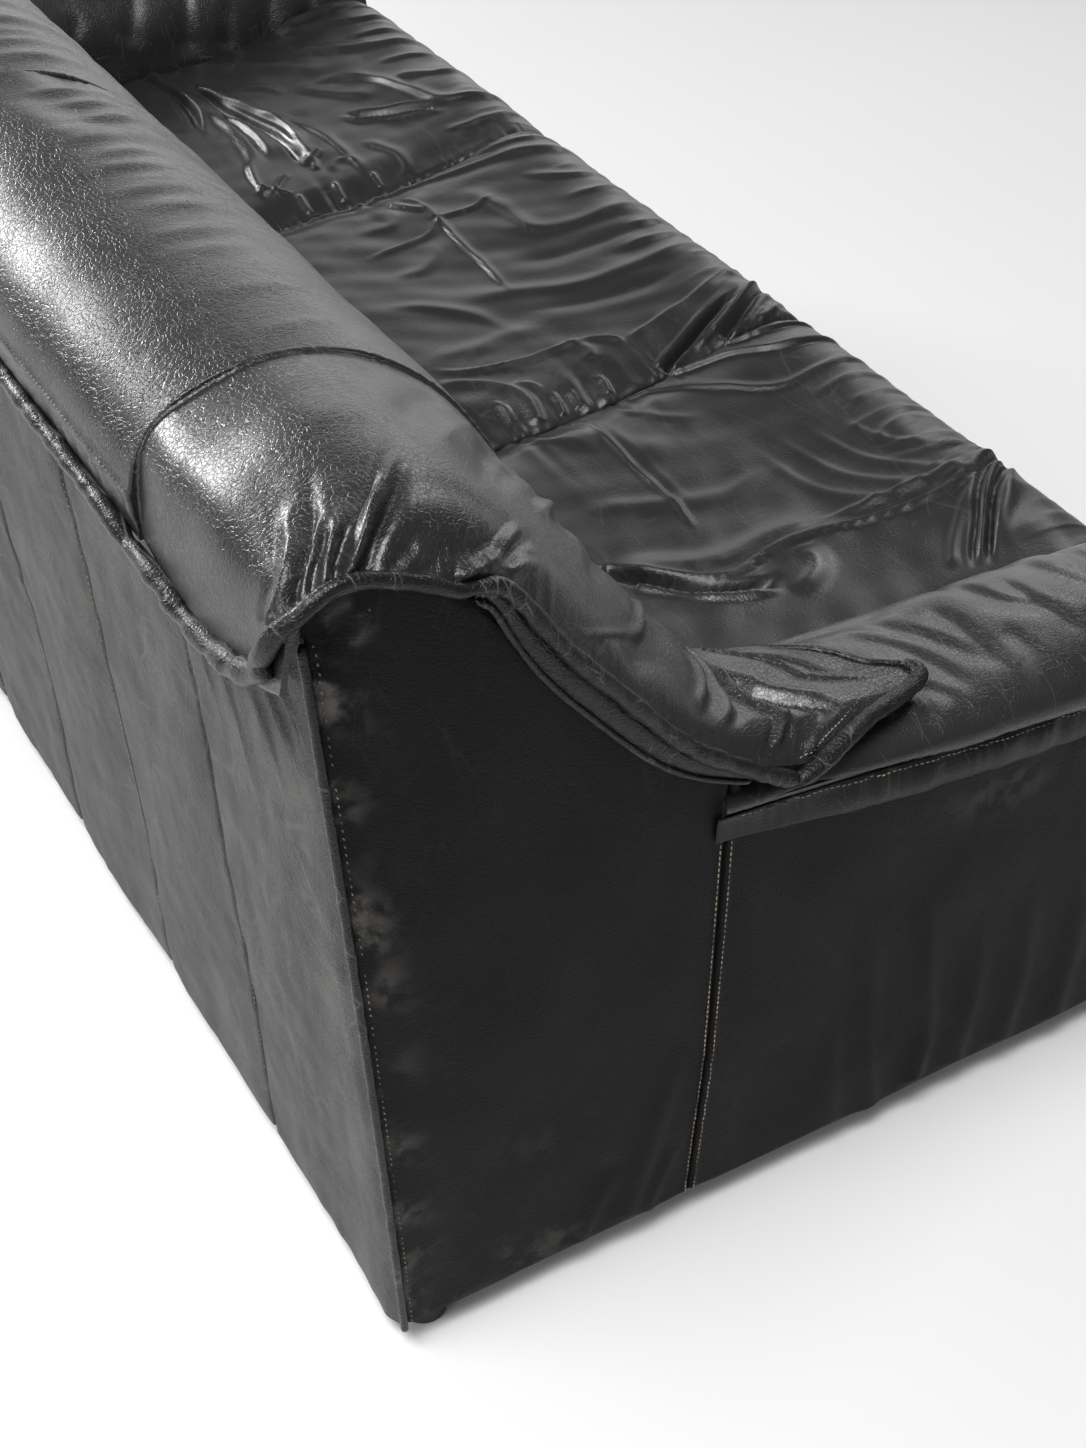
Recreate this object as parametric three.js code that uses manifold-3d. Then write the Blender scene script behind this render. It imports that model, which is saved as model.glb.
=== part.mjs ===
// Low three-seat sofa with loose-looking leather upholstery: timber frame, webbing,
// padded seat, back and arm sections, sewn outer covers, welts and plastic feet.
// Millimetres, +Z up, the front faces -Y, origin on the floor under the middle.

import * as THREE from "three";
import { mergeVertices } from "three/addons/utils/BufferGeometryUtils.js";
import Module from "manifold-3d";

// Overall sizes of the upholstered body.
const bodyLength = 1990;
const rearFace = 425;
const frontFace = -445;
const coverBottom = 22;
const gap = 0.3;

// Timber sections and levels.
const railBottom = 30;
const railTop = 180;
const railThickness = 30;
const postDepth = 40;
const frameHalfLength = 975;
const backHalfLength = 960;
const backFrameTop = 640;
const boardThickness = 14;
const boardRear = 330;
const hardboardThickness = 3;

// Upholstery levels.
const coverThickness = 2.3;
const strapThickness = 3;
const strapWidth = 60;
const seatBottom = 186;
const seatTop = 385;
const seatRearTop = 342;
const seatNose = -455;
const seatRear = 335;
const seatHalfWidth = 785;
const seatSeam = 276;
const backSeamInner = 255;
const backSeamOuter = 765;
const backFront = 150;
const backTop = 756;
const backInnerFace = 340.6;
const lipBottom = 655;
const lipOuter = 453;
const shoulderClearance = 4;

// The arm top falls a little towards the front.
const armRear = 125;
const armHemRear = 450;
const armSlope = 0.065;
const armCrown = 38;
const armBulge = 25;
const armInner = 786;
const armPadWall = 65;
const armApron = 225;
const sweepInner = 829;

// Small parts.
const welt = { radius: 9, sides: 10, steps: 26 };
const foot = { radius: 20, height: 27.4, inset: 30 };

const beech = new THREE.MeshStandardMaterial({ color: 0xb98f62, roughness: 0.7, metalness: 0 });
const plywood = new THREE.MeshStandardMaterial({ color: 0xc9a878, roughness: 0.75, metalness: 0 });
const hardboard = new THREE.MeshStandardMaterial({ color: 0x6d4a30, roughness: 0.8, metalness: 0 });
const webbing = new THREE.MeshStandardMaterial({ color: 0x2c2a28, roughness: 0.9, metalness: 0 });
const leather = new THREE.MeshStandardMaterial({ color: 0x17181a, roughness: 0.42, metalness: 0 });
const wornLeather = new THREE.MeshStandardMaterial({ color: 0x26272a, roughness: 0.5, metalness: 0 });
const lining = new THREE.MeshStandardMaterial({ color: 0x141414, roughness: 0.95, metalness: 0 });
const plastic = new THREE.MeshStandardMaterial({ color: 0x0d0d0d, roughness: 0.5, metalness: 0 });

const sofa = new THREE.Group();

const wasm = await Module();
wasm.setup();

/** Height of the arm's hem line at a place along the depth. */
function hemHeight(y) {
  return armHemRear - armSlope * (armRear - y);
}

function point(y, z) {
  return new THREE.Vector2(y, z);
}

function addMesh(name, geometry, material) {
  const mesh = new THREE.Mesh(geometry, material);
  mesh.name = name;
  sofa.add(mesh);
  return mesh;
}

/** A box between two opposite corners. */
function addBlock(name, material, x, y, z) {
  const geometry = new THREE.BoxGeometry(x[1] - x[0], y[1] - y[0], z[1] - z[0]);
  const mesh = addMesh(name, geometry, material);
  mesh.position.set((x[0] + x[1]) / 2, (y[0] + y[1]) / 2, (z[0] + z[1]) / 2);
  return mesh;
}

/** A side outline, drawn in depth and height, extruded along the length of the sofa. */
function alongLength(outline, x0, x1, curveSegments = 2) {
  const geometry = new THREE.ExtrudeGeometry(outline, {
    depth: x1 - x0,
    bevelEnabled: false,
    curveSegments,
  });
  const turn = new THREE.Matrix4().makeBasis(
    new THREE.Vector3(0, 1, 0),
    new THREE.Vector3(0, 0, 1),
    new THREE.Vector3(1, 0, 0),
  );
  geometry.applyMatrix4(turn);
  geometry.translate(x0, 0, 0);
  return geometry;
}

/** Calls a builder for the left end and the right end, with the range of X mirrored. */
function bothEnds(build) {
  build("left", (near, far) => [-far, -near]);
  build("right", (near, far) => [near, far]);
}

/** The shoulder line where the end panel meets the back roll, falling to the arm. */
function shoulderCurve(lift) {
  return [
    point(415, 704 + lift),
    point(395, 726 + lift),
    point(366, 725 + lift),
    point(336, 706 + lift),
    point(311, 682 + lift),
    point(284, 640 + lift),
    point(243, 583 + lift),
    point(185, 521 + lift),
    point(armRear + 6, 484 + lift),
  ];
}

/** Outline of an end board or end cover: back corner, shoulder, arm and front. */
function endOutline(rear, inset, bottom) {
  const outline = new THREE.Shape();
  outline.moveTo(rear, bottom);
  outline.lineTo(rear, lipBottom);
  outline.splineThru(shoulderCurve(0).filter((p) => p.x < rear));
  outline.lineTo(armRear + 6, hemHeight(armRear));
  outline.lineTo(armRear, hemHeight(armRear));
  outline.lineTo(frontFace + inset, hemHeight(frontFace));
  outline.lineTo(frontFace + inset, bottom);
  return outline;
}

/** Cross-section of the padded back: it hooks over the top of the back frame. */
function backSection() {
  const outline = new THREE.Shape();
  outline.moveTo(rearFace + 2.5, lipBottom);
  outline.lineTo(lipOuter - 3, lipBottom);
  outline.splineThru([
    point(lipOuter, 685),
    point(440, 720),
    point(405, 746),
    point(350, backTop),
    point(290, 744),
    point(240, 711),
    point(203, 667),
    point(176, 617),
    point(158, 560),
    point(backFront, 500),
    point(155, 430),
    point(182, seatRearTop + 12),
  ]);
  outline.lineTo(backInnerFace, seatRearTop + 8);
  outline.lineTo(backInnerFace, backFrameTop + 2);
  outline.lineTo(rearFace + 2.5, backFrameTop + 2);
  return outline;
}

/** Side outline of the back's end section, which sweeps down and lies over the arm. */
function shoulderSection() {
  const outline = new THREE.Shape();
  outline.moveTo(rearFace + 2.5, lipBottom);
  outline.lineTo(lipOuter - 3, lipBottom);
  outline.splineThru([
    point(lipOuter + 2, 690),
    point(440, 732),
    point(405, 758),
    point(362, 768),
    point(318, 758),
    point(282, 735),
    point(243, 700),
    point(205, 656),
    point(163, 600),
    point(120, 545),
    point(75, 512),
    point(-10, 492),
    point(-88, 479),
  ]);
  outline.lineTo(-90, hemHeight(-90) + armCrown + 1);
  outline.lineTo(armRear, hemHeight(armRear) + armCrown + 1);
  outline.splineThru(shoulderCurve(shoulderClearance).reverse());
  return outline;
}

/** Turns a three.js geometry into a solid that can be joined to another. */
function toSolid(geometry) {
  const bare = geometry.clone();
  bare.deleteAttribute("normal");
  bare.deleteAttribute("uv");
  const merged = mergeVertices(bare, 0.001);
  return new wasm.Manifold(new wasm.Mesh({
    numProp: 3,
    vertProperties: new Float32Array(merged.attributes.position.array),
    triVerts: new Uint32Array(merged.index.array),
  }));
}

function fromSolid(solid) {
  const mesh = solid.getMesh();
  const geometry = new THREE.BufferGeometry();
  geometry.setAttribute("position", new THREE.BufferAttribute(new Float32Array(mesh.vertProperties), 3));
  geometry.setIndex(new THREE.BufferAttribute(new Uint32Array(mesh.triVerts), 1));
  geometry.computeVertexNormals();
  return geometry;
}

// Base frame: four rails on edge with glued corner blocks.
function addBaseFrame() {
  const levels = [railBottom, railTop];
  const rearRailFront = rearFace - 40;
  const frontRailRear = frontFace + 10 + railThickness;
  addBlock("rail_front", beech, [-frameHalfLength, frameHalfLength],
    [frontFace + 10, frontRailRear], levels);
  addBlock("rail_rear", beech, [-frameHalfLength, frameHalfLength],
    [rearRailFront, rearRailFront + 34], levels);
  const sideDepth = [frontRailRear + gap, rearRailFront - gap];
  bothEnds((side, range) => {
    addBlock(`rail_${side}`, beech, range(frameHalfLength - railThickness, frameHalfLength), sideDepth, levels);
  });
  const blockLeg = 62;
  const blockHeight = 90;
  bothEnds((side, range) => {
    for (const end of ["front", "rear"]) {
      const cornerX = (frameHalfLength - railThickness - gap) * (side === "left" ? -1 : 1);
      const cornerY = end === "front" ? sideDepth[0] : sideDepth[1];
      const inX = -Math.sign(cornerX) * blockLeg;
      const inY = end === "front" ? blockLeg : -blockLeg;
      const outline = new THREE.Shape([
        point(cornerX, cornerY),
        point(cornerX + inX, cornerY),
        point(cornerX, cornerY + inY),
      ]);
      const block = new THREE.ExtrudeGeometry(outline, { depth: blockHeight, bevelEnabled: false });
      addMesh(`corner_block_${end}_${side}`, block, beech).position.z = railBottom + 30;
    }
  });
}

// Back frame: corner posts, uprights, top rail, tuck rail and a hardboard backing.
function addBackFrame() {
  const postFront = rearFace - 40 - postDepth;
  const postRear = rearFace - 40 - gap;
  bothEnds((side, range) => {
    addBlock(`rear_post_${side}`, beech, range(backHalfLength - 40, backHalfLength),
      [postFront, postRear], [railTop + gap, backFrameTop]);
    addBlock(`back_upright_${side}`, beech, range(300, 340), [postFront, postRear], [railBottom, backFrameTop]);
  });
  const railDepth = [rearFace - 40, rearFace - 6];
  addBlock("back_top_rail", beech, [-backHalfLength, backHalfLength], railDepth,
    [backFrameTop - 80, backFrameTop]);
  addBlock("back_tuck_rail", beech, [-backHalfLength, backHalfLength], railDepth, [320, 370]);
  addBlock("back_board", hardboard, [-backHalfLength, backHalfLength],
    [rearFace - 6 + gap, rearFace - 6 + gap + hardboardThickness - 0.6], [railBottom, backFrameTop]);
}

// Arm frames: end board, inner board, front post and a sloping top rail.
function addArmFrames() {
  bothEnds((side, range) => {
    const boardRange = range(frameHalfLength + gap, frameHalfLength + gap + boardThickness);
    addMesh(`end_board_${side}`, alongLength(endOutline(boardRear, 8, railBottom), ...boardRange), plywood);
    addBlock(`arm_inner_board_${side}`, hardboard, range(853, 857),
      [frontFace + 41, backInnerFace - 1], [railTop + strapThickness + 1, hemHeight(frontFace) - 20]);
    addBlock(`arm_post_${side}`, beech, range(frameHalfLength - 40, frameHalfLength),
      [frontFace + 41, frontFace + 81], [railTop + gap, hemHeight(frontFace) - 47]);
    const rail = new THREE.Shape([
      point(backInnerFace, hemHeight(armRear) - 46),
      point(backInnerFace, hemHeight(armRear) - 16),
      point(armRear, hemHeight(armRear) - 16),
      point(frontFace + 41, hemHeight(frontFace + 41) - 16),
      point(frontFace + 41, hemHeight(frontFace + 41) - 46),
      point(armRear, hemHeight(armRear) - 46),
    ]);
    addMesh(`arm_rail_${side}`, alongLength(rail, ...range(870, frameHalfLength)), beech);
  });
}

// Rubberised webbing: three pairs front to back in the seat, three bands across the back.
function addWebbing() {
  [-750, -450, -150, 150, 450, 750].forEach((x, index) => {
    addBlock(`seat_strap_${index + 1}`, webbing, [x - strapWidth / 2, x + strapWidth / 2],
      [frontFace + 11, rearFace - 7], [railTop + gap, railTop + gap + strapThickness]);
  });
  [410, 500, 590].forEach((z, index) => {
    const strapRear = rearFace - 40 - postDepth - gap;
    addBlock(`back_strap_${index + 1}`, webbing, [-backHalfLength, backHalfLength],
      [strapRear - strapThickness, strapRear], [z - strapWidth / 2, z + strapWidth / 2]);
  });
}

// Three seat sections with a rounded nose.
function addSeatSections() {
  const outline = new THREE.Shape();
  outline.moveTo(seatRear, seatBottom);
  outline.lineTo(seatNose + 30, seatBottom);
  outline.splineThru([
    point(seatNose + 8, 200),
    point(seatNose, 275),
    point(seatNose + 3, 330),
    point(seatNose + 15, 362),
    point(seatNose + 40, 381),
    point(-380, seatTop),
    point(-300, 367),
    point(-230, 357),
    point(-100, 348),
    point(30, seatRearTop + 2),
    point(170, seatRearTop),
  ]);
  outline.lineTo(seatRear, seatRearTop);
  addMesh("seat_section_middle", alongLength(outline, -seatSeam + gap, seatSeam - gap), leather);
  bothEnds((side, range) => {
    const geometry = alongLength(outline, ...range(seatSeam + gap, seatHalfWidth - gap));
    addMesh(`seat_section_${side}`, geometry, leather);
  });
}

// Three middle back sections and two end sections that sweep down over the arms.
function addBackSections() {
  const section = backSection();
  addMesh("back_section_middle", alongLength(section, -backSeamInner + gap, backSeamInner - gap), leather);
  bothEnds((side, range) => {
    const outer = alongLength(section, ...range(backSeamInner + gap, backSeamOuter - gap));
    addMesh(`back_section_${side}`, outer, leather);
    const pad = toSolid(alongLength(section, ...range(backSeamOuter + gap, sweepInner - gap)));
    const sweep = toSolid(alongLength(shoulderSection(), ...range(sweepInner - gap, bodyLength / 2)));
    addMesh(`back_end_${side}`, fromSolid(pad.add(sweep)), leather);
  });
}

// Arm pads: a padded cap with an apron down the inside, tilted to follow the hem line.
function addArmPads() {
  const outer = bodyLength / 2;
  for (const side of ["left", "right"]) {
    const mirror = side === "left" ? -1 : 1;
    const at = (x, z) => new THREE.Vector2(mirror * x, z);
    const outline = new THREE.Shape();
    outline.moveTo(mirror * (outer + 2), 1);
    outline.splineThru([
      at(outer + armBulge - 6, 4),
      at(outer + armBulge, 16),
      at(outer + armBulge - 16, 29),
      at(outer - 30, armCrown - 2),
      at(outer - 70, armCrown),
      at(armInner + 94, armCrown - 2),
      at(armInner + 69, armCrown - 12),
      at(armInner + 48, 6),
      at(armInner + 28, -18),
      at(armInner + 11, -46),
      at(armInner + 2, -78),
    ]);
    outline.lineTo(mirror * armInner, -armApron);
    outline.lineTo(mirror * (armInner + armPadWall), -armApron);
    outline.lineTo(mirror * (armInner + armPadWall), 1);
    const length = armRear - frontFace + 2;
    const geometry = new THREE.ExtrudeGeometry(outline, { depth: length, bevelEnabled: false, curveSegments: 2 });
    geometry.rotateX(Math.PI / 2);
    const pad = addMesh(`arm_pad_${side}`, geometry, leather);
    pad.rotation.x = Math.atan(armSlope);
    pad.position.set(0, armRear, armHemRear);
  }
}

// Sewn outer covers: rear panel, end panels, front border and arm fronts.
function addCovers() {
  const outer = bodyLength / 2;
  addBlock("rear_cover", wornLeather, [-outer + coverThickness + gap, outer - coverThickness - gap],
    [rearFace - coverThickness, rearFace], [coverBottom, backFrameTop + 1]);
  addBlock("front_cover", leather, [-armInner - armPadWall - gap, armInner + armPadWall + gap],
    [frontFace, frontFace + coverThickness], [coverBottom, railTop + strapThickness]);
  bothEnds((side, range) => {
    addMesh(`end_cover_${side}`,
      alongLength(endOutline(rearFace, 0, coverBottom), ...range(outer - coverThickness, outer)), leather);
    addBlock(`arm_front_${side}`, leather, range(armInner + armPadWall + 2 * gap, outer - coverThickness - gap),
      [frontFace, frontFace + coverThickness], [coverBottom, hemHeight(frontFace) - 2]);
    const hem = new THREE.Shape([
      point(armRear, hemHeight(armRear) - 0.5),
      point(frontFace, hemHeight(frontFace) - 0.5),
      point(frontFace, hemHeight(frontFace) - 30),
      point(armRear, hemHeight(armRear) - 30),
    ]);
    addMesh(`arm_hem_${side}`, alongLength(hem, ...range(outer + gap, outer + 3.3)), leather);
  });
  addBlock("dust_cover", lining, [-outer + 8, outer - 8], [frontFace + 8, rearFace - 8],
    [railBottom - gap - 2, railBottom - gap]);
}

// Fat padded welts: one along the rear, one round each shoulder.
function addWelts() {
  const outer = bodyLength / 2;
  const rear = new THREE.CylinderGeometry(welt.radius, welt.radius, 2 * outer - 4, welt.sides);
  rear.rotateZ(Math.PI / 2);
  addMesh("rear_welt", rear, leather).position.set(0, rearFace + 14, lipBottom - welt.radius - 1);
  const section = new THREE.Shape();
  section.absarc(0, 0, welt.radius, 0, 2 * Math.PI, false);
  for (const side of ["left", "right"]) {
    const x = (side === "left" ? -1 : 1) * (outer + welt.radius + 1);
    const line = shoulderCurve(8).map((p) => new THREE.Vector3(x, p.x, p.y));
    line.unshift(new THREE.Vector3(x, rearFace + 12, 668));
    const geometry = new THREE.ExtrudeGeometry(section, {
      steps: welt.steps,
      bevelEnabled: false,
      curveSegments: welt.sides,
      extrudePath: new THREE.CatmullRomCurve3(line),
    });
    addMesh(`end_welt_${side}`, geometry, leather);
  }
}

// Four turned plastic feet under the corners of the base frame.
function addFeet() {
  const profile = [
    [0, 0],
    [foot.radius - 2, 0],
    [foot.radius, 2],
    [foot.radius - 3, foot.height],
    [0, foot.height],
  ].map(([r, z]) => new THREE.Vector2(r, z));
  bothEnds((side, range) => {
    for (const end of ["front", "rear"]) {
      const geometry = new THREE.LatheGeometry(profile, 24);
      geometry.rotateX(Math.PI / 2);
      const edge = range(bodyLength / 2 - foot.inset, bodyLength / 2 - foot.inset)[0];
      const y = end === "front" ? frontFace + foot.inset : rearFace - foot.inset;
      addMesh(`foot_${end}_${side}`, geometry, plastic).position.set(edge, y, 0);
    }
  });
}

addBaseFrame();
addBackFrame();
addArmFrames();
addWebbing();
addSeatSections();
addBackSections();
addArmPads();
addCovers();
addWelts();
addFeet();

export default sofa;
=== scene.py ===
import math

import bmesh
import bpy
import numpy as np
from mathutils import Matrix, Vector
from mathutils.bvhtree import BVHTree


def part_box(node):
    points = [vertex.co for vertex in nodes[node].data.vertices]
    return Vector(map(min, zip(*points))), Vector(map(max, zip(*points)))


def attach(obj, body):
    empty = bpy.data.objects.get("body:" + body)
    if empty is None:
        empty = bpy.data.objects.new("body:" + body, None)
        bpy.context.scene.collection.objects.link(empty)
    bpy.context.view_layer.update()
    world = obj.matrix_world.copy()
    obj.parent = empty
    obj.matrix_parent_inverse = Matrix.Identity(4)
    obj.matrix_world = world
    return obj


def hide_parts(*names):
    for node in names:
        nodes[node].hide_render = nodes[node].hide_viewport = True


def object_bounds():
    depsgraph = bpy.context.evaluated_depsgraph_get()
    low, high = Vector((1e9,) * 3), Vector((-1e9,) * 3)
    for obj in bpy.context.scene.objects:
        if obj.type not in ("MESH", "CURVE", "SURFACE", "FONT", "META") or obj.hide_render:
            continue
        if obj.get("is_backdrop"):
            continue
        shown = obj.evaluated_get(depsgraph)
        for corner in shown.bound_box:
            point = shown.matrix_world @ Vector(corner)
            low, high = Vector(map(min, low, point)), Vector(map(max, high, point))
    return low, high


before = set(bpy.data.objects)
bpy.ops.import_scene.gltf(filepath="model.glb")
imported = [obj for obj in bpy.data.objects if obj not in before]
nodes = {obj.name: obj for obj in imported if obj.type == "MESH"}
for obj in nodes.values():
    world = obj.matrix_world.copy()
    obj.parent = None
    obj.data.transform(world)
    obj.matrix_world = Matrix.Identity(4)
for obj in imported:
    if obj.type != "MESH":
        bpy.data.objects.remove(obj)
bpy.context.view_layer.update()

# ---------------------------------------------------------------------------
# Studio: a pale floor, one raised camera behind the left corner, and five soft
# lights: overhead, beyond the far arm, two in front and one behind.
# ---------------------------------------------------------------------------
scene = bpy.context.scene
scene.view_settings.view_transform = "Standard"

camera_data = bpy.data.cameras.new("camera")
camera_data.sensor_width = 36.0
camera_data.sensor_fit = "AUTO"
camera_data.lens = 45.76
camera_data.shift_x = -0.0229
camera_data.shift_y = 0.2586
camera_data.clip_end = 60.0
camera = bpy.data.objects.new("camera", camera_data)
camera.location = (-1.806, 0.737, 1.322)
camera.rotation_euler = Vector((0.561, -0.330, -0.759)).to_track_quat("-Z", "Y").to_euler()
scene.collection.objects.link(camera)
scene.camera = camera


def new_material(name, **sockets):
    """A material whose Principled shader has these socket values; returns it, its nodes and that shader."""
    material = bpy.data.materials.new(name)
    material.use_nodes = True
    tree = material.node_tree
    shader = tree.nodes["Principled BSDF"]
    for socket, value in sockets.items():
        shader.inputs[socket.replace("_", " ").title().replace("Ior", "IOR")].default_value = value
    return material, tree, shader


def add_node(tree, kind, inputs=(), **settings):
    """A node with its settings; inputs pairs each socket with a value or another node's output."""
    node = tree.nodes.new(kind)
    for name, value in settings.items():
        setattr(node, name, value)
    for socket, value in inputs:
        if isinstance(value, bpy.types.NodeSocket):
            tree.links.new(value, node.inputs[socket])
        else:
            node.inputs[socket].default_value = value
    return node


def own_place(tree):
    """The piece's own coordinates."""
    return add_node(tree, "ShaderNodeTexCoord").outputs["Object"]


def two_tones(tree, value, first, last, low=0.0, high=1.0):
    """A ramp from one tone at low to another at high."""
    ramp = add_node(tree, "ShaderNodeValToRGB", [(0, value)])
    for stop, position, tone in zip(ramp.color_ramp.elements, (low, high), (first, last)):
        stop.position = position
        stop.color = (*tone, 1)
    return ramp.outputs["Color"]


floor_bm = bmesh.new()
bmesh.ops.create_grid(floor_bm, x_segments=1, y_segments=1, size=14.0)
floor_mesh = bpy.data.meshes.new("floor")
floor_bm.to_mesh(floor_mesh)
floor_bm.free()
floor = bpy.data.objects.new("floor", floor_mesh)
scene.collection.objects.link(floor)
floor_material, tree, shader = new_material("pale_floor", roughness=0.9)
cloud = add_node(tree, "ShaderNodeTexNoise", [("Vector", own_place(tree)), ("Scale", 1.3)])
floor_tone = two_tones(tree, cloud.outputs["Fac"], (0.745, 0.745, 0.75), (0.77, 0.77, 0.77))
tree.links.new(floor_tone, shader.inputs["Base Color"])
floor_mesh.materials.append(floor_material)
floor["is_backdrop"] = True

world = bpy.data.worlds.new("studio")
world.use_nodes = True
background = world.node_tree.nodes["Background"]
background.inputs["Color"].default_value = (1.0, 1.0, 1.0, 1)
background.inputs["Strength"].default_value = 0.22
scene.world = world


def softbox(name, place, aim, width, height, power):
    """A rectangular soft light at a place, aimed at a point."""
    light = bpy.data.lights.new(name, "AREA")
    light.shape = "RECTANGLE"
    light.size = width
    light.size_y = height
    light.energy = power
    box = bpy.data.objects.new(name, light)
    box.location = place
    box.rotation_euler = (Vector(aim) - Vector(place)).to_track_quat("-Z", "Y").to_euler()
    scene.collection.objects.link(box)


softbox("overhead", (-1.25, 1.15, 3.5), (-0.35, 0.1, 0), 2.0, 1.4, 140)
softbox("beyond_far_arm", (4.3, 1.42, 2.0), (0, 0.3, 0.5), 1.5, 0.9, 150)
softbox("white_wall", (5.6, -4.2, 1.9), (-0.3, -0.1, 0.4), 6.0, 3.2, 82)
softbox("front_glow", (1.0, -2.3, 2.4), (-0.9, -0.1, 0.5), 1.0, 0.7, 15)
softbox("rear_fill", (-1.8, 4.4, 1.8), (-0.4, 0, 0.3), 2.4, 1.2, 84)

# ---------------------------------------------------------------------------
# Frame timber: beech rails, posts and blocks, plywood ends, a hardboard back and
# black inner boards. The covers hide it once the sofa is made up.
# ---------------------------------------------------------------------------


def relief(tree, shader, height, distance, strength=1.0):
    """Gives a shader bumps of this depth."""
    bump = add_node(tree, "ShaderNodeBump",
                    [("Height", height), ("Distance", distance), ("Strength", strength)])
    tree.links.new(bump.outputs[0], shader.inputs["Normal"])


def timber(name, pale, dark, grain):
    """Wood with long streaks; grain gives how the streaks are stretched along x, y and z."""
    material, tree, shader = new_material(name, roughness=0.7)
    stretched = add_node(tree, "ShaderNodeMapping", [(0, own_place(tree)), ("Scale", grain)])
    streak = add_node(tree, "ShaderNodeTexNoise", [("Vector", stretched.outputs[0]), ("Scale", 18.0),
                                                   ("Detail", 6.0), ("Distortion", 0.6)]).outputs["Fac"]
    tree.links.new(two_tones(tree, streak, dark, pale, 0.35, 0.65), shader.inputs["Base Color"])
    relief(tree, shader, streak, 0.001, 0.25)
    return material


beech = timber("beech_timber", (0.52, 0.33, 0.17), (0.38, 0.22, 0.10), (0.12, 1.0, 1.0))
plywood = timber("birch_plywood", (0.58, 0.42, 0.23), (0.47, 0.31, 0.15), (1.0, 0.15, 1.0))
hardboard = timber("brown_hardboard", (0.20, 0.11, 0.055), (0.14, 0.075, 0.035), (1.0, 1.0, 1.0))
black_board = timber("black_hardboard", (0.016, 0.016, 0.016), (0.010, 0.010, 0.010), (1.0, 1.0, 1.0))


def dress(material, *names):
    """Gives CAD nodes a finished material."""
    for name in names:
        for place in nodes[name].material_slots:
            place.material = material


corners = ["front_left", "front_right", "rear_left", "rear_right"]
dress(beech, "rail_front", "rail_rear", "rail_left", "rail_right", "back_top_rail", "back_tuck_rail",
      "rear_post_left", "rear_post_right", "back_upright_left", "back_upright_right",
      "arm_post_left", "arm_post_right", "arm_rail_left", "arm_rail_right",
      *["corner_block_" + corner for corner in corners])
dress(plywood, "end_board_left", "end_board_right")
dress(hardboard, "back_board")
dress(black_board, "arm_inner_board_left", "arm_inner_board_right")

# ---------------------------------------------------------------------------
# Webbing: woven rubberised straps stapled over the rails, front to back under the
# seat and end to end behind the back pads.
# ---------------------------------------------------------------------------
webbing, tree, shader = new_material("woven_webbing", roughness=0.88)
place = own_place(tree)
across, along = [
    add_node(tree, "ShaderNodeTexWave", [("Vector", place), ("Scale", 110.0)], bands_direction=way)
    for way in ("X", "Y")]
weave = add_node(tree, "ShaderNodeMath", [(0, across.outputs["Fac"]), (1, along.outputs["Fac"])],
                 operation="MULTIPLY").outputs[0]
tree.links.new(two_tones(tree, weave, (0.010, 0.009, 0.008), (0.045, 0.040, 0.034)),
               shader.inputs["Base Color"])
relief(tree, shader, weave, 0.0008)
dress(webbing, *[f"seat_strap_{n}" for n in range(1, 7)], *[f"back_strap_{n}" for n in range(1, 4)])

# ---------------------------------------------------------------------------
# Feet: four small turned plastic feet with fine turning rings.
# ---------------------------------------------------------------------------
foot_plastic, tree, shader = new_material("foot_plastic", base_color=(0.012, 0.012, 0.012, 1), roughness=0.5)
place = own_place(tree)
ring = add_node(tree, "ShaderNodeTexWave", [("Vector", place), ("Scale", 160.0)], bands_direction="Z")
relief(tree, shader, ring.outputs["Fac"], 0.0003)
scuff = add_node(tree, "ShaderNodeTexNoise", [("Vector", place), ("Scale", 90.0)])
tree.links.new(two_tones(tree, scuff.outputs["Fac"], (0.35, 0.35, 0.35), (0.65, 0.65, 0.65)),
               shader.inputs["Roughness"])
dress(foot_plastic, *["foot_" + corner for corner in corners])


# ---------------------------------------------------------------------------
# Leather: black grained cowhide. One group gives its grain, creases, scratches and
# specks; each part of the sofa gets its own mix of gloss, dullness and wear.
# ---------------------------------------------------------------------------
def group_socket(group, name, kind, value=None, out=False):
    """An input or output of a node group."""
    made = group.interface.new_socket(name=name, in_out="OUTPUT" if out else "INPUT",
                                      socket_type="NodeSocket" + kind)
    if value is not None:
        made.default_value = value


hide = bpy.data.node_groups.new("hide_surface", "ShaderNodeTree")
group_socket(hide, "Place", "Vector")
group_socket(hide, "Grain", "Float", 1.0)
group_socket(hide, "Crackle", "Float", 0.5)
group_socket(hide, "Scratches", "Float", 0.3)
group_socket(hide, "Specks", "Float", 0.3)
group_socket(hide, "Crazing", "Float", 0.0)
group_socket(hide, "Height", "Float", out=True)
group_socket(hide, "Pale", "Float", out=True)
group_socket(hide, "Dull", "Float", out=True)
g_in = hide.nodes.new("NodeGroupInput")
g_out = hide.nodes.new("NodeGroupOutput")


def math_node(tree, operation, *values, clamp=False):
    """A sum on values, each a number or another node's output."""
    return add_node(tree, "ShaderNodeMath", enumerate(values), operation=operation,
                    use_clamp=clamp).outputs[0]


def mapped(tree, vector, stretch, turn):
    """A place stretched and turned."""
    return add_node(tree, "ShaderNodeMapping",
                    [("Vector", vector), ("Scale", stretch), ("Rotation", turn)]).outputs[0]


def noise_node(tree, vector, scale, detail=2.0, distortion=0.0):
    """Smooth noise at a scale."""
    return add_node(tree, "ShaderNodeTexNoise", [("Vector", vector), ("Scale", scale), ("Detail", detail),
                                                 ("Distortion", distortion)])


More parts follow.
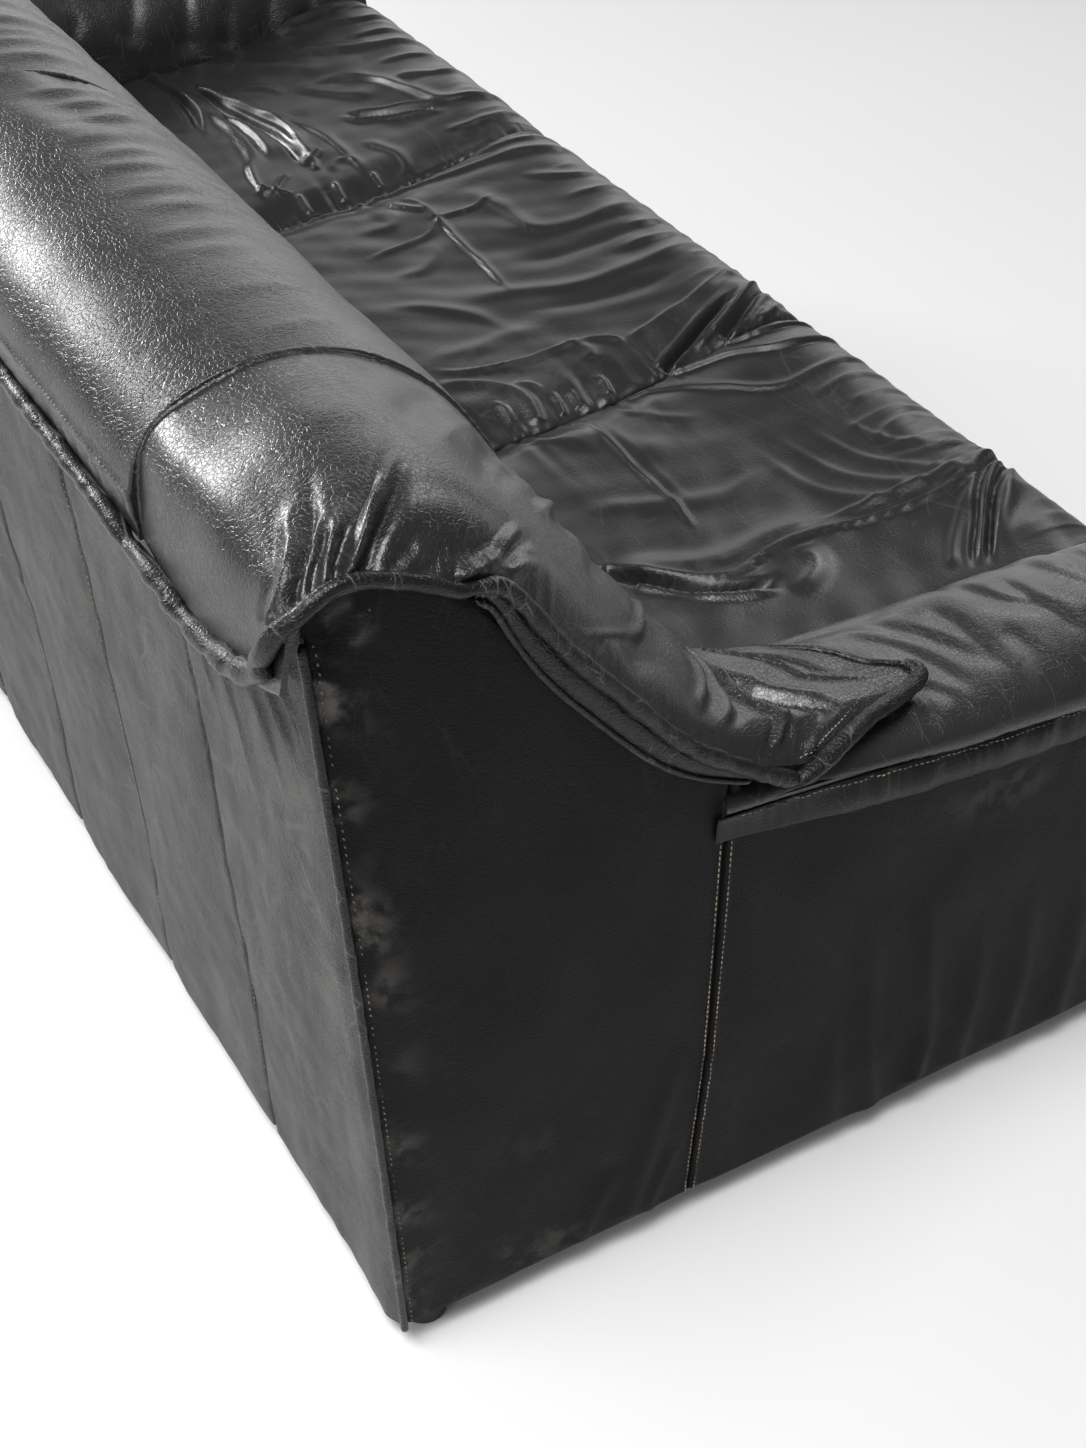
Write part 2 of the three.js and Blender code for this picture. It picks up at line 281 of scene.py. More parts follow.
def cells_node(tree, vector, scale, feature="DISTANCE_TO_EDGE"):
    """Cells at a scale, as the distance to their edges or to their centres."""
    return add_node(tree, "ShaderNodeTexVoronoi", [("Vector", vector), ("Scale", scale), ("Randomness", 1.0)],
                    feature=feature)


def step_node(tree, value, low, high):
    """0 below low, 1 above high, smooth between."""
    return add_node(tree, "ShaderNodeMapRange", [("Value", value), ("From Min", low), ("From Max", high)],
                    interpolation_type="SMOOTHSTEP").outputs["Result"]


def mix_tones(tree, factor, first, second):
    """A colour between two, each a tone or another node's output."""
    pair = [tone if isinstance(tone, bpy.types.NodeSocket) else (*tone, 1) for tone in (first, second)]
    return add_node(tree, "ShaderNodeMix", [("Factor", factor), ("A", pair[0]), ("B", pair[1])],
                    data_type="RGBA").outputs["Result"]


def fill_hide(tree, place, grain, crackle, scratches, specks, crazing):
    """The nodes inside the hide group."""
    warp = noise_node(tree, place, 60.0, 2.0)
    warped = add_node(tree, "ShaderNodeVectorMath", [(0, warp.outputs["Color"]), (1, (0.008, 0.008, 0.008)),
                                                     (2, place)], operation="MULTIPLY_ADD").outputs[0]
    pebble = cells_node(tree, warped, 520.0, "F1").outputs["Distance"]
    crease = cells_node(tree, warped, 260.0).outputs["Distance"]
    crease = step_node(tree, crease, 0.0, 0.12)
    long_place = mapped(tree, warped, (1.0, 0.35, 1.0), (0.4, 0.9, 0.7))
    short_crease = cells_node(tree, long_place, 140.0).outputs["Distance"]
    short_crease = step_node(tree, short_crease, 0.0, 0.07)
    patch = step_node(tree, noise_node(tree, place, 16.0, 3.0).outputs["Fac"], 0.32, 0.68)
    creases = math_node(tree, "ADD", crease, short_crease)
    creases = math_node(tree, "MULTIPLY", creases, math_node(tree, "MULTIPLY_ADD", patch, 0.5, 0.5))
    height = math_node(tree, "MULTIPLY_ADD", creases, crackle, math_node(tree, "MULTIPLY", pebble, grain))
    crazed_place = mapped(tree, place, (0.45, 1.4, 1.0), (0.2, 0.1, 0.8))
    crazed = noise_node(tree, crazed_place, 260.0, 3.0, 1.2).outputs["Fac"]
    height = math_node(tree, "MULTIPLY_ADD", crazed, math_node(tree, "MULTIPLY", crazing, 6.0), height)
    scratch_total = None
    for turn, scale, cut in (((0.3, 0.2, 0.5), 26.0, 0.03), ((0.1, 0.5, -0.9), 19.0, 0.025),
                             ((0.9, -0.3, 1.4), 23.0, 0.03)):
        drawn_out = mapped(tree, place, (0.35, 2.2, 1.0), turn)
        line = cells_node(tree, drawn_out, scale).outputs["Distance"]
        line = math_node(tree, "SUBTRACT", 1.0, step_node(tree, line, 0.0, cut))
        gate = step_node(tree, noise_node(tree, drawn_out, scale * 0.7, 1.0).outputs["Fac"], 0.56, 0.66)
        line = math_node(tree, "MULTIPLY", line, gate)
        scratch_total = line if scratch_total is None else math_node(tree, "ADD", scratch_total, line)
    scratch_total = math_node(tree, "MULTIPLY", scratch_total, scratches, clamp=True)
    dot = cells_node(tree, place, 95.0, "F1")
    size = add_node(tree, "ShaderNodeSeparateColor", [(0, dot.outputs["Color"])])
    keep = step_node(tree, size.outputs[0], 0.90, 1.0)
    dot = math_node(tree, "SUBTRACT", 1.0, step_node(tree, dot.outputs["Distance"], 0.02, 0.12))
    dot = math_node(tree, "MULTIPLY", math_node(tree, "MULTIPLY", dot, keep), specks, clamp=True)
    pale = math_node(tree, "ADD", scratch_total, dot, clamp=True)
    dull = noise_node(tree, place, 14.0, 5.0, 0.4).outputs["Fac"]
    return height, pale, dull


surface_ins = [g_in.outputs[name] for name in ("Place", "Grain", "Crackle", "Scratches", "Specks", "Crazing")]
for name, made in zip(("Height", "Pale", "Dull"), fill_hide(hide, *surface_ins)):
    hide.links.new(made, g_out.inputs[name])


def leather(name, black, rubbed, gloss, dullness, grain=1.0, crackle=0.5, scratches=0.3, specks=0.3,
            coat=0.3, specular=0.4, bump_depth=0.0005, streaks=0.0, cloud=1.6):
    """Leather: its own black and rubbed tones, roughness, surface marks and the masks its mesh carries; the
    seam mask paints shade into the seams.
    """
    material, tree, shader = new_material(name)
    shader.inputs["Specular IOR Level"].default_value = specular
    place = own_place(tree)
    # Masks the mesh carries: rub for wear, shine for polish, and a seam mask that paints shade along the
    # seams and roughens them.
    rub, shine, sunk = [add_node(tree, "ShaderNodeAttribute", attribute_name=mark).outputs["Fac"]
                        for mark in ("rub", "shine", "sunk")]
    surface = add_node(tree, "ShaderNodeGroup", node_tree=hide)
    tree.links.new(place, surface.inputs["Place"])
    tree.links.new(shine, surface.inputs["Crazing"])
    for socket, value in (("Grain", grain), ("Crackle", crackle), ("Scratches", scratches),
                          ("Specks", specks)):
        surface.inputs[socket].default_value = value
    cloudy = noise_node(tree, place, 6.0, 4.0, 0.5).outputs["Fac"]
    fine = noise_node(tree, place, 55.0, 5.0, 0.3).outputs["Fac"]
    worn = math_node(tree, "MULTIPLY", rub, step_node(tree, fine, 0.40, 0.62), clamp=True)
    patchy = math_node(tree, "MULTIPLY_ADD", cloudy, 0.9, -0.2, clamp=True)
    colour = mix_tones(tree, patchy, black, [c * cloud for c in black])
    if streaks:
        drawn_out = mapped(tree, place, (1.3, 1.0, 0.5), (0.0, 0.10, 0.0))
        streak = step_node(tree, noise_node(tree, drawn_out, 22.0, 7.0, 0.5).outputs["Fac"], 0.40, 0.70)
        colour = mix_tones(tree, math_node(tree, "MULTIPLY", streak, streaks, clamp=True), colour, rubbed)
    colour = mix_tones(tree, worn, colour, rubbed)
    colour = mix_tones(tree, surface.outputs["Pale"], colour, (0.22, 0.215, 0.20))
    # Painted shade: the seam mask turns the colour near-black along the seam grooves, where the groove's
    # shadow would fall.
    colour = mix_tones(tree, sunk, colour, (0.0015, 0.0015, 0.0015))
    tree.links.new(colour, shader.inputs["Base Color"])
    rough = math_node(tree, "MULTIPLY_ADD", surface.outputs["Dull"], dullness, gloss)
    rough = math_node(tree, "MULTIPLY_ADD", worn, 0.15, rough)
    rough = math_node(tree, "ADD", rough, math_node(tree, "MULTIPLY", surface.outputs["Pale"], 0.2),
                      clamp=True)
    rough = math_node(tree, "MULTIPLY", rough, math_node(tree, "MULTIPLY_ADD", shine, -0.38, 1.0, clamp=True))
    # The same seam mask also roughens the leather in the seams.
    rough = math_node(tree, "MULTIPLY_ADD", sunk, 0.5, rough, clamp=True)
    tree.links.new(rough, shader.inputs["Roughness"])
    tree.links.new(math_node(tree, "MULTIPLY_ADD", shine, 0.7, coat, clamp=True),
                   shader.inputs["Coat Weight"])
    shader.inputs["Coat Roughness"].default_value = 0.30
    relief(tree, shader, surface.outputs["Height"], bump_depth)
    return material


seat_leather = leather("seat_leather", (0.010, 0.010, 0.0108), (0.060, 0.060, 0.058), 0.27, 0.18, grain=0.4,
                       crackle=0.3, scratches=0.06, specks=0.25, coat=0.10, specular=0.33, bump_depth=0.0002)
roll_leather = leather("roll_leather", (0.011, 0.011, 0.0115), (0.075, 0.075, 0.075), 0.25, 0.16, grain=0.30,
                       crackle=1.1, scratches=0.08, specks=0.35, coat=0.15, bump_depth=0.00019)
arm_leather = leather("arm_leather", (0.011, 0.011, 0.0115), (0.070, 0.069, 0.066), 0.27, 0.18, grain=0.4,
                      crackle=0.7, scratches=0.12, specks=0.3, coat=0.20, specular=0.42, bump_depth=0.00018)
hem_leather = leather("hem_leather", (0.006, 0.006, 0.0063), (0.070, 0.069, 0.066), 0.34, 0.20, grain=0.4,
                      crackle=0.7, scratches=0.12, specks=0.3, coat=0.0, specular=0.25, bump_depth=0.00022)
side_leather = leather("side_leather", (0.0040, 0.0040, 0.0042), (0.120, 0.114, 0.104), 0.40, 0.22,
                       crackle=0.6, scratches=0.03, specks=0.8, coat=0.0, specular=0.11, bump_depth=0.0003)
rear_leather = leather("rear_leather", (0.0195, 0.0195, 0.0192), (0.105, 0.103, 0.098), 0.38, 0.24, grain=0.6,
                       crackle=1.6, scratches=0.25, specks=0.3, coat=0.0, specular=0.34, bump_depth=0.00045,
                       streaks=0.38, cloud=2.3)
welt_leather = leather("welt_leather", (0.005, 0.005, 0.0055), (0.070, 0.068, 0.062), 0.24, 0.20, crackle=0.7,
                       scratches=0.3, specks=0.25, coat=0.05, specular=0.30, bump_depth=0.0003)


# ---------------------------------------------------------------------------
# Seat: three foam-filled leather sections with a rounded nose, sewn side to side,
# loose on top and puckered along the two seams.
# ---------------------------------------------------------------------------
def run_along(points):
    """How far along a line each of its points lies."""
    return np.concatenate([[0], np.cumsum(np.linalg.norm(np.diff(points, axis=0), axis=1))])


def through(points, step):
    """Points evenly spaced along a smooth curve through the given ones."""
    knots = np.array(points, float)
    padded = np.vstack([2 * knots[0] - knots[1], knots, 2 * knots[-1] - knots[-2]])
    pieces = []
    for a, b, c, d in zip(padded, padded[1:], padded[2:], padded[3:]):
        t = np.linspace(0, 1, 24, endpoint=False)[:, None]
        pieces.append(0.5 * (2 * b + (c - a) * t + (2 * a - 5 * b + 4 * c - d) * t**2
                             + (3 * b - a - 3 * c + d) * t**3))
    curve = np.vstack([*pieces, knots[-1:]])
    length = run_along(curve)
    at = np.linspace(0, length[-1], max(2, round(length[-1] / step) + 1))
    return np.stack([np.interp(at, length, curve[:, k]) for k in range(curve.shape[1])], 1)


def skin(name, points, material, tube=False, capped=False, **marks):
    """Leather through rows and columns of points. A tube's last row meets its first; caps close its ends."""
    rows, columns = points.shape[:2]
    bm = bmesh.new()
    bmesh.ops.create_grid(bm, x_segments=columns - 1, y_segments=rows - 1, size=0.5)
    mesh = bpy.data.meshes.new(name)
    bm.to_mesh(mesh)
    bm.free()
    mesh.vertices.foreach_set("co", points.reshape(-1).astype(np.float32))
    marks.setdefault("rub", np.zeros((rows, columns)))
    for mark, values in marks.items():
        attribute = mesh.attributes.new(mark, "FLOAT", "POINT")
        attribute.data.foreach_set("value", values.reshape(-1).astype(np.float32))
    bm = bmesh.new()
    bm.from_mesh(mesh)
    if tube:
        bmesh.ops.remove_doubles(bm, verts=bm.verts, dist=2e-5)
    if capped:
        bmesh.ops.holes_fill(bm, edges=[e for e in bm.edges if e.is_boundary], sides=0)
    bmesh.ops.recalc_face_normals(bm, faces=bm.faces)
    for face in bm.faces:
        face.smooth = len(face.verts) == 4
    bm.to_mesh(mesh)
    bm.free()
    mesh.materials.append(material)
    piece = bpy.data.objects.new(name, mesh)
    scene.collection.objects.link(piece)
    return piece


def across_width(x0, x1, step, crowding=0.7):
    """Column places from x0 to x1, closer together near both seams."""
    s = np.linspace(0, 1, round((x1 - x0) / step) + 1)
    return x0 + (x1 - x0) * (s - crowding * np.sin(2 * np.pi * s) / (2 * np.pi))


def outward(points):
    """Unit normals of a grid of points."""
    normal = np.cross(np.gradient(points, axis=1), np.gradient(points, axis=0))
    return normal / np.maximum(np.linalg.norm(normal, axis=2, keepdims=True), 1e-12)


def ease(value, low, high):
    """0 below low, 1 above high, smooth between."""
    t = np.clip((value - low) / (high - low), 0, 1)
    return t * t * (3 - 2 * t)


def drift(a, b, size, seed, waves=9):
    """Smooth unevenness between about -1 and 1 over two coordinates, with lumps of about this size."""
    rng = np.random.default_rng(seed)
    total = np.zeros(np.broadcast(a, b).shape)
    for angle, phase, scale in zip(rng.uniform(0, 2 * np.pi, waves), rng.uniform(0, 2 * np.pi, waves),
                                   rng.uniform(0.6, 1.6, waves)):
        k = 2 * np.pi / (size * scale * 2)
        total += np.sin(k * (a * math.cos(angle) + b * math.sin(angle)) + phase)
    return total / math.sqrt(waves)


def along_line(a, b, line, reach):
    """Where grid points lie about a smooth line: signed distance from it and how far along it, 0 to 1."""
    curve = through(line, 0.006)
    off = np.full(a.shape, 9.0)
    way = np.zeros(a.shape)
    near = ((a > curve[:, 0].min() - reach) & (a < curve[:, 0].max() + reach)
            & (b > curve[:, 1].min() - reach) & (b < curve[:, 1].max() + reach))
    pa, pb = a[near], b[near]
    best = np.full(pa.shape, 81.0)
    sign = np.zeros(pa.shape)
    best_way = np.zeros(pa.shape)
    for index, (start, end) in enumerate(zip(curve, curve[1:])):
        da, db = end - start
        size = da * da + db * db
        t = np.clip(((pa - start[0]) * da + (pb - start[1]) * db) / size, 0, 1)
        ra, rb = pa - start[0] - t * da, pb - start[1] - t * db
        gap = ra * ra + rb * rb
        closer = gap < best
        best = np.where(closer, gap, best)
        sign = np.where(closer, np.sign(da * rb - db * ra), sign)
        best_way = np.where(closer, (index + t) / (len(curve) - 1), best_way)
    off[near] = np.sqrt(best) * np.where(sign == 0, 1, sign)
    way[near] = best_way
    return off, way


def faded(way, fade):
    """Lets a fold die away over a share of its length at each end."""
    return ease(way, 0, max(fade[0], 1e-3)) * ease(1 - way, 0, max(fade[1], 1e-3))


def ridge(a, b, line, width, height, lean=0.0, fade=(0.3, 0.3)):
    """A rounded fold along a line, steeper on one side where it leans; a negative height makes a hollow."""
    off, way = along_line(a, b, line, width * 4)
    side = np.where(off > 0, width * (1 + lean), width * (1 - lean))
    return height * np.exp(-(off / side) ** 2) * faded(way, fade)


def crease(a, b, line, width, depth, lip=0.4, fade=(0.2, 0.2)):
    """A sharp groove along a line with a raised lip on each side."""
    off, way = along_line(a, b, line, width * 6)
    off = np.abs(off)
    return depth * faded(way, fade) * (lip * np.exp(-((off - 2.2 * width) / (1.1 * width)) ** 2)
                                       - np.exp(-(off / width) ** 1.5))


def worked(a, b, folds):
    """Adds up folds, each a width, a height (a groove where negative), a lean, two end fades and its line."""
    total = np.zeros(a.shape)
    for width, height, lean, start, end, *line in folds:
        if height < 0:
            total += crease(a, b, line, width, -height, 0.35, (start, end))
        else:
            total += ridge(a, b, line, width, height, lean, (start, end))
    return total


def spot(a, b, centre, size):
    """A soft oval patch, 1 at its centre."""
    return np.exp(-(((a - centre[0]) / size[0]) ** 2 + ((b - centre[1]) / size[1]) ** 2))


def polished(a, b, patches):
    """Adds up round shiny patches, each its two places, its strength and its size."""
    total = np.zeros(a.shape)
    for at_a, at_b, strength, size in patches:
        total += strength * np.exp(-(((a - at_a) ** 2 + (b - at_b) ** 2) / size**2))
    return total


def profile_grid(xs, profile, run, side):
    """A profile of y and z carried across columns: x, run, points and normals; side is 1 or -1."""
    x, along = np.meshgrid(xs, run)
    points = np.zeros((*x.shape, 3))
    points[..., 0] = x
    points[..., 1:] = profile[:, None]
    way = np.gradient(profile, axis=0)
    way /= np.maximum(np.linalg.norm(way, axis=1, keepdims=True), 1e-9)
    normal = np.zeros_like(points)
    normal[..., 1] = -side * way[:, 1][:, None]
    normal[..., 2] = side * way[:, 0][:, None]
    return x, along, points, normal


def belongs(piece, node=None):
    """Puts a piece on the sofa's one body and in place of a CAD node where named."""
    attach(piece, "root")
    if node:
        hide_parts(node)


def puckers(place, away, spacing, reach, height, seed):
    """Small gathers that run away from a seam: place is along it, away the distance from it."""
    rng = np.random.default_rng(seed)
    phase = 2 * np.pi * place / spacing + 1.4 * np.sin(2 * np.pi * place / (spacing * 3.7)
                                                       + rng.uniform(0, 6))
    phase += 0.9 * np.sin(2 * np.pi * place / (spacing * 1.9) + rng.uniform(0, 6))
    size = 0.55 + 0.45 * np.sin(2 * np.pi * place / (spacing * 5.3) + rng.uniform(0, 6))
    return height * size * np.cos(phase) * np.exp(-np.maximum(away, 0) / reach)


def sewn_in(distance, deep, round_over, crown, crown_reach):
    """How far leather sinks towards a seam: a tight rounded edge on top of a slow crown."""
    near = 1 - np.clip(distance / round_over, 0, 1)
    slow = 1 - ease(distance, 0, crown_reach)
    return deep * (1 - np.sqrt(np.maximum(1 - near**2, 0))) + crown * slow


nose = [(-0.447, 0.196), (-0.459, 0.225), (-0.467, 0.285), (-0.465, 0.330), (-0.450, 0.362), (-0.420, 0.382),
        (-0.385, 0.385), (-0.340, 0.376), (-0.290, 0.365), (-0.230, 0.357), (-0.100, 0.348), (0.030, 0.343)]
seat_low, seat_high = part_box("seat_section_middle")
SEAT_SEAM = seat_high.x
SEAT_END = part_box("seat_section_right")[1].x
seat_bottom_z = seat_low.z
seat_rear_y = seat_high.y
seat_rows = np.vstack([
    np.linspace((seat_rear_y, seat_bottom_z), (-0.432, seat_bottom_z), 9)[:-1],
    through(nose, 0.0026),
    np.linspace((0.030, 0.343), (seat_rear_y, 0.340), 24)[1:],
    np.linspace((seat_rear_y, 0.340), (seat_rear_y, seat_bottom_z), 5)[1:],
])
seat_run = run_along(seat_rows)
top_start = 8 + np.argmax(seat_rows[8:, 0] > -0.400)
seat_t = seat_run - seat_run[top_start] - 0.400
seat_soft = ((np.arange(len(seat_rows)) > 8) & (seat_rows[:, 0] < seat_rear_y - 0.02)).astype(float)
seat_soft = np.convolve(seat_soft, np.ones(7) / 7, "same")


def trench(a, b, line, width, depth, fade=(0.3, 0.3)):
    """A steep-sided hollow along a line."""
    off, way = along_line(a, b, line, width * 4)
    return -depth * np.exp(-np.abs(off / width) ** 3.5) * faded(way, fade)


def nose_lines(x, t, x0, x1, seed):
    """Fine sharp wrinkles that gather over the rounded nose and run a little way on to the seat."""
    rng = np.random.default_rng(seed)
    lift = np.zeros(x.shape)
    for start in np.arange(x0 + 0.015, x1 - 0.012, 0.026):
        start += rng.uniform(-0.007, 0.007)
        sway = rng.uniform(-0.012, 0.022)
        reach = rng.uniform(-0.40, -0.33)
        line = [(start + 0.012, -0.520), (start, -0.465), (start + 0.3 * sway, -0.425), (start + sway, reach)]
        lift += ridge(x, t, line, rng.uniform(0.004, 0.007), rng.uniform(0.0008, 0.0018),
                      rng.choice([-0.5, 0.5]), (0.25, 0.55))
    return lift


# Patches polished by wear: place across and along the seat, strength and size.
shiny = {
    "seat_section_left_leather": [(-0.652, -0.118, 0.9, 0.016), (-0.628, -0.088, 0.8, 0.014),
                                  (-0.600, -0.062, 0.6, 0.012), (-0.642, -0.198, 0.8, 0.016),
                                  (-0.400, -0.149, 0.4, 0.012), (-0.440, -0.147, 0.5, 0.012),
                                  (-0.322, -0.150, 0.4, 0.014), (-0.300, -0.215, 0.4, 0.016)],
    "seat_section_middle_leather": [(-0.205, -0.088, 0.8, 0.020), (-0.236, -0.108, 0.9, 0.018),
                                    (-0.210, -0.135, 0.7, 0.014), (-0.245, -0.160, 0.5, 0.012),
                                    (-0.246, -0.205, 0.6, 0.010), (-0.185, -0.215, 0.6, 0.014),
                                    (0.205, -0.208, 0.8, 0.014), (0.262, -0.180, 0.4, 0.020)],
    "seat_section_right_leather": [(0.49, -0.118, 0.5, 0.020), (0.53, -0.122, 0.4, 0.018),
                                   (0.45, -0.112, 0.4, 0.016), (0.46, -0.184, 0.6, 0.014),
                                   (0.43, -0.300, 0.9, 0.018), (0.46, -0.268, 0.8, 0.014),
                                   (0.40, -0.345, 0.8, 0.014), (0.736, -0.291, 0.8, 0.014),
                                   (0.312, -0.123, 0.8, 0.010), (0.313, -0.171, 0.8, 0.008),
                                   (0.310, -0.221, 0.8, 0.007), (0.395, -0.172, 0.8, 0.010),
                                   (0.77, -0.34, 0.8, 0.016), (0.695, -0.150, 0.6, 0.014)],
}


def seat_section(name, x0, x1, folds, seed):
    """One seat section between two seams, with its own folds."""
    xs = across_width(x0, x1, 0.0028)
    x, t, points, normal = profile_grid(xs, seat_rows, seat_t, 1)
    edge = np.minimum(x - x0, x1 - x)
    to_seam = np.minimum(np.abs(x - SEAT_SEAM), np.abs(x + SEAT_SEAM))
    rear = ease(t, -0.36, -0.12)
    lift = -sewn_in(edge, 0.008, 0.012, 0.006, 0.07) - 0.010 * rear * (1 - ease(edge, 0, 0.05))
    lift += 0.0014 * drift(x, t, 0.09, seed) + 0.0006 * drift(x, t, 0.03, seed + 1)
    lift += puckers(t, to_seam, 0.015, 0.016, 0.0013, seed + 2)
    lift += puckers(t, to_seam, 0.034, 0.045, 0.0020, seed + 3) * rear
    lift += nose_lines(x, t, x0, x1, seed + 6)
    lift += folds(x, t)
    lift *= 1 - 0.72 * ease(-t, 0.405, 0.455) * ease(edge, 0, 0.02)
    points += normal * (lift * seat_soft[:, None])[..., None]
    rub = 0.25 * ease(drift(x, t, 0.12, seed + 5), 0.4, 1.4)
    piece = skin(name, points, seat_leather, tube=True, capped=True, rub=rub * seat_soft[:, None],
                 shine=np.clip(polished(x, t, shiny[name]), 0, 1))
    belongs(piece, name.replace("_leather", ""))


near_lines = [
    (0.0040, 0.0055, 0.5, 0.05, 0.10, (-0.549, -0.050), (-0.582, -0.080), (-0.608, -0.110), (-0.615, -0.139),
     (-0.607, -0.172), (-0.605, -0.209), (-0.610, -0.248),
     (-0.623, -0.288), (-0.634, -0.340), (-0.632, -0.374), (-0.604, -0.44), (-0.581, -0.482)),
    (0.0140, 0.0050, 0.3, 0.15, 0.20, (-0.535, -0.045), (-0.568, -0.085), (-0.590, -0.130), (-0.588, -0.190),
     (-0.594, -0.260)),
    (0.0050, 0.0060, 0.0, 0.05, 0.25, (-0.578, -0.044), (-0.608, -0.075), (-0.634, -0.099), (-0.650, -0.132),
     (-0.658, -0.162)),
    (0.0110, 0.0046, 0.2, 0.20, 0.30, (-0.615, -0.208), (-0.642, -0.204), (-0.660, -0.182), (-0.664, -0.160)),
    (0.0050, 0.0055, 0.5, 0.05, 0.40, (-0.575, -0.500), (-0.603, -0.430), (-0.611, -0.380), (-0.607, -0.337),
     (-0.596, -0.271), (-0.591, -0.219), (-0.577, -0.192)),
    (0.0030, -0.0075, 0.0, 0.05, 0.15, (-0.578, -0.510), (-0.606, -0.470), (-0.640, -0.420), (-0.675, -0.380),
     (-0.713, -0.347), (-0.745, -0.322)),
    (0.0028, -0.0055, 0.0, 0.20, 0.15, (-0.600, -0.455), (-0.640, -0.395), (-0.689, -0.351), (-0.715, -0.327),
     (-0.740, -0.308)),
    (0.0050, 0.0030, 0.2, 0.20, 0.15, (-0.640, -0.382), (-0.675, -0.341), (-0.701, -0.314), (-0.730, -0.292)),
    (0.0060, 0.0045, 0.3, 0.10, 0.30, (-0.600, -0.490), (-0.640, -0.435), (-0.680, -0.393), (-0.706, -0.367),
     (-0.745, -0.345)),
    (0.0040, 0.0030, 0.5, 0.05, 0.40, (-0.570, -0.500), (-0.589, -0.440), (-0.600, -0.390), (-0.598, -0.355),
     (-0.586, -0.328)),
    (0.0040, 0.0028, 0.5, 0.05, 0.40, (-0.565, -0.480), (-0.578, -0.416), (-0.568, -0.364), (-0.549, -0.335)),
    (0.0040, 0.0026, 0.5, 0.05, 0.40, (-0.548, -0.475), (-0.556, -0.416), (-0.550, -0.370), (-0.528, -0.335)),
    (0.0120, 0.0030, 0.2, 0.20, 0.30, (-0.445, -0.060), (-0.467, -0.110), (-0.490, -0.149), (-0.504, -0.192),
     (-0.499, -0.238), (-0.504, -0.290)),
    (0.0050, 0.0040, 0.4, 0.02, 0.15, (-0.284, -0.212), (-0.308, -0.252), (-0.350, -0.294), (-0.390, -0.334),
     (-0.396, -0.384), (-0.394, -0.440), (-0.385, -0.480)),
    (0.0055, 0.0055, 0.4, 0.02, 0.15, (-0.282, -0.272), (-0.303, -0.327), (-0.335, -0.370), (-0.345, -0.420),
     (-0.333, -0.475)),
    (0.0045, 0.0045, 0.4, 0.02, 0.20, (-0.282, -0.340), (-0.295, -0.385), (-0.298, -0.430), (-0.288, -0.475)),
    (0.0035, 0.0030, 0.3, 0.05, 0.10, (-0.284, -0.145), (-0.322, -0.153), (-0.365, -0.150), (-0.399, -0.149),
     (-0.445, -0.147), (-0.490, -0.146), (-0.536, -0.139)),
    (0.0040, -0.0016, 0.0, 0.05, 0.10, (-0.300, -0.158), (-0.365, -0.157), (-0.445, -0.154),
     (-0.500, -0.152)),
    (0.0050, 0.0025, 0.4, 0.20, 0.20, (-0.500, -0.335), (-0.497, -0.380), (-0.503, -0.430), (-0.498, -0.480)),
    (0.0045, 0.0022, 0.4, 0.20, 0.20, (-0.464, -0.365), (-0.466, -0.410), (-0.460, -0.470)),
    (0.0050, 0.0026, 0.4, 0.20, 0.20, (-0.535, -0.340), (-0.520, -0.385), (-0.525, -0.430), (-0.520, -0.480)),
    (0.0050, 0.0022, 0.4, 0.20, 0.20, (-0.430, -0.345), (-0.428, -0.390), (-0.432, -0.430), (-0.425, -0.475)),
    (0.0180, 0.0030, 0.0, 0.20, 0.20, (-0.42, -0.19), (-0.35, -0.15), (-0.31, -0.11), (-0.28, -0.07)),
    (0.0070, 0.0018, 0.2, 0.20, 0.40, (-0.300, -0.06), (-0.315, -0.10), (-0.345, -0.125), (-0.380, -0.135)),
    (0.0060, 0.0016, 0.2, 0.10, 0.40, (-0.284, -0.19), (-0.325, -0.200), (-0.36, -0.225), (-0.385, -0.26)),
    (0.0060, 0.0018, 0.3, 0.10, 0.50, (-0.635, -0.40), (-0.560, -0.340), (-0.500, -0.322), (-0.440, -0.318)),
    (0.0060, 0.0016, 0.3, 0.10, 0.50, (-0.628, -0.36), (-0.560, -0.308), (-0.500, -0.292), (-0.440, -0.288)),
    (0.0070, 0.0014, 0.3, 0.10, 0.50, (-0.620, -0.32), (-0.560, -0.275), (-0.500, -0.262), (-0.430, -0.258)),
    (0.0050, 0.0016, 0.3, 0.10, 0.50, (-0.600, -0.43), (-0.545, -0.370), (-0.495, -0.352), (-0.455, -0.350)),
]


def near_folds(x, t):
    """The near seat: a deep slot by the arm and its own folds."""
    slot = [(-0.540, -0.034), (-0.551, -0.042), (-0.585, -0.066), (-0.618, -0.094), (-0.633, -0.122),
            (-0.640, -0.150), (-0.634, -0.172)]
    return trench(x, t, slot, 0.0075, 0.0150, (0.02, 0.22)) + worked(x, t, near_lines)


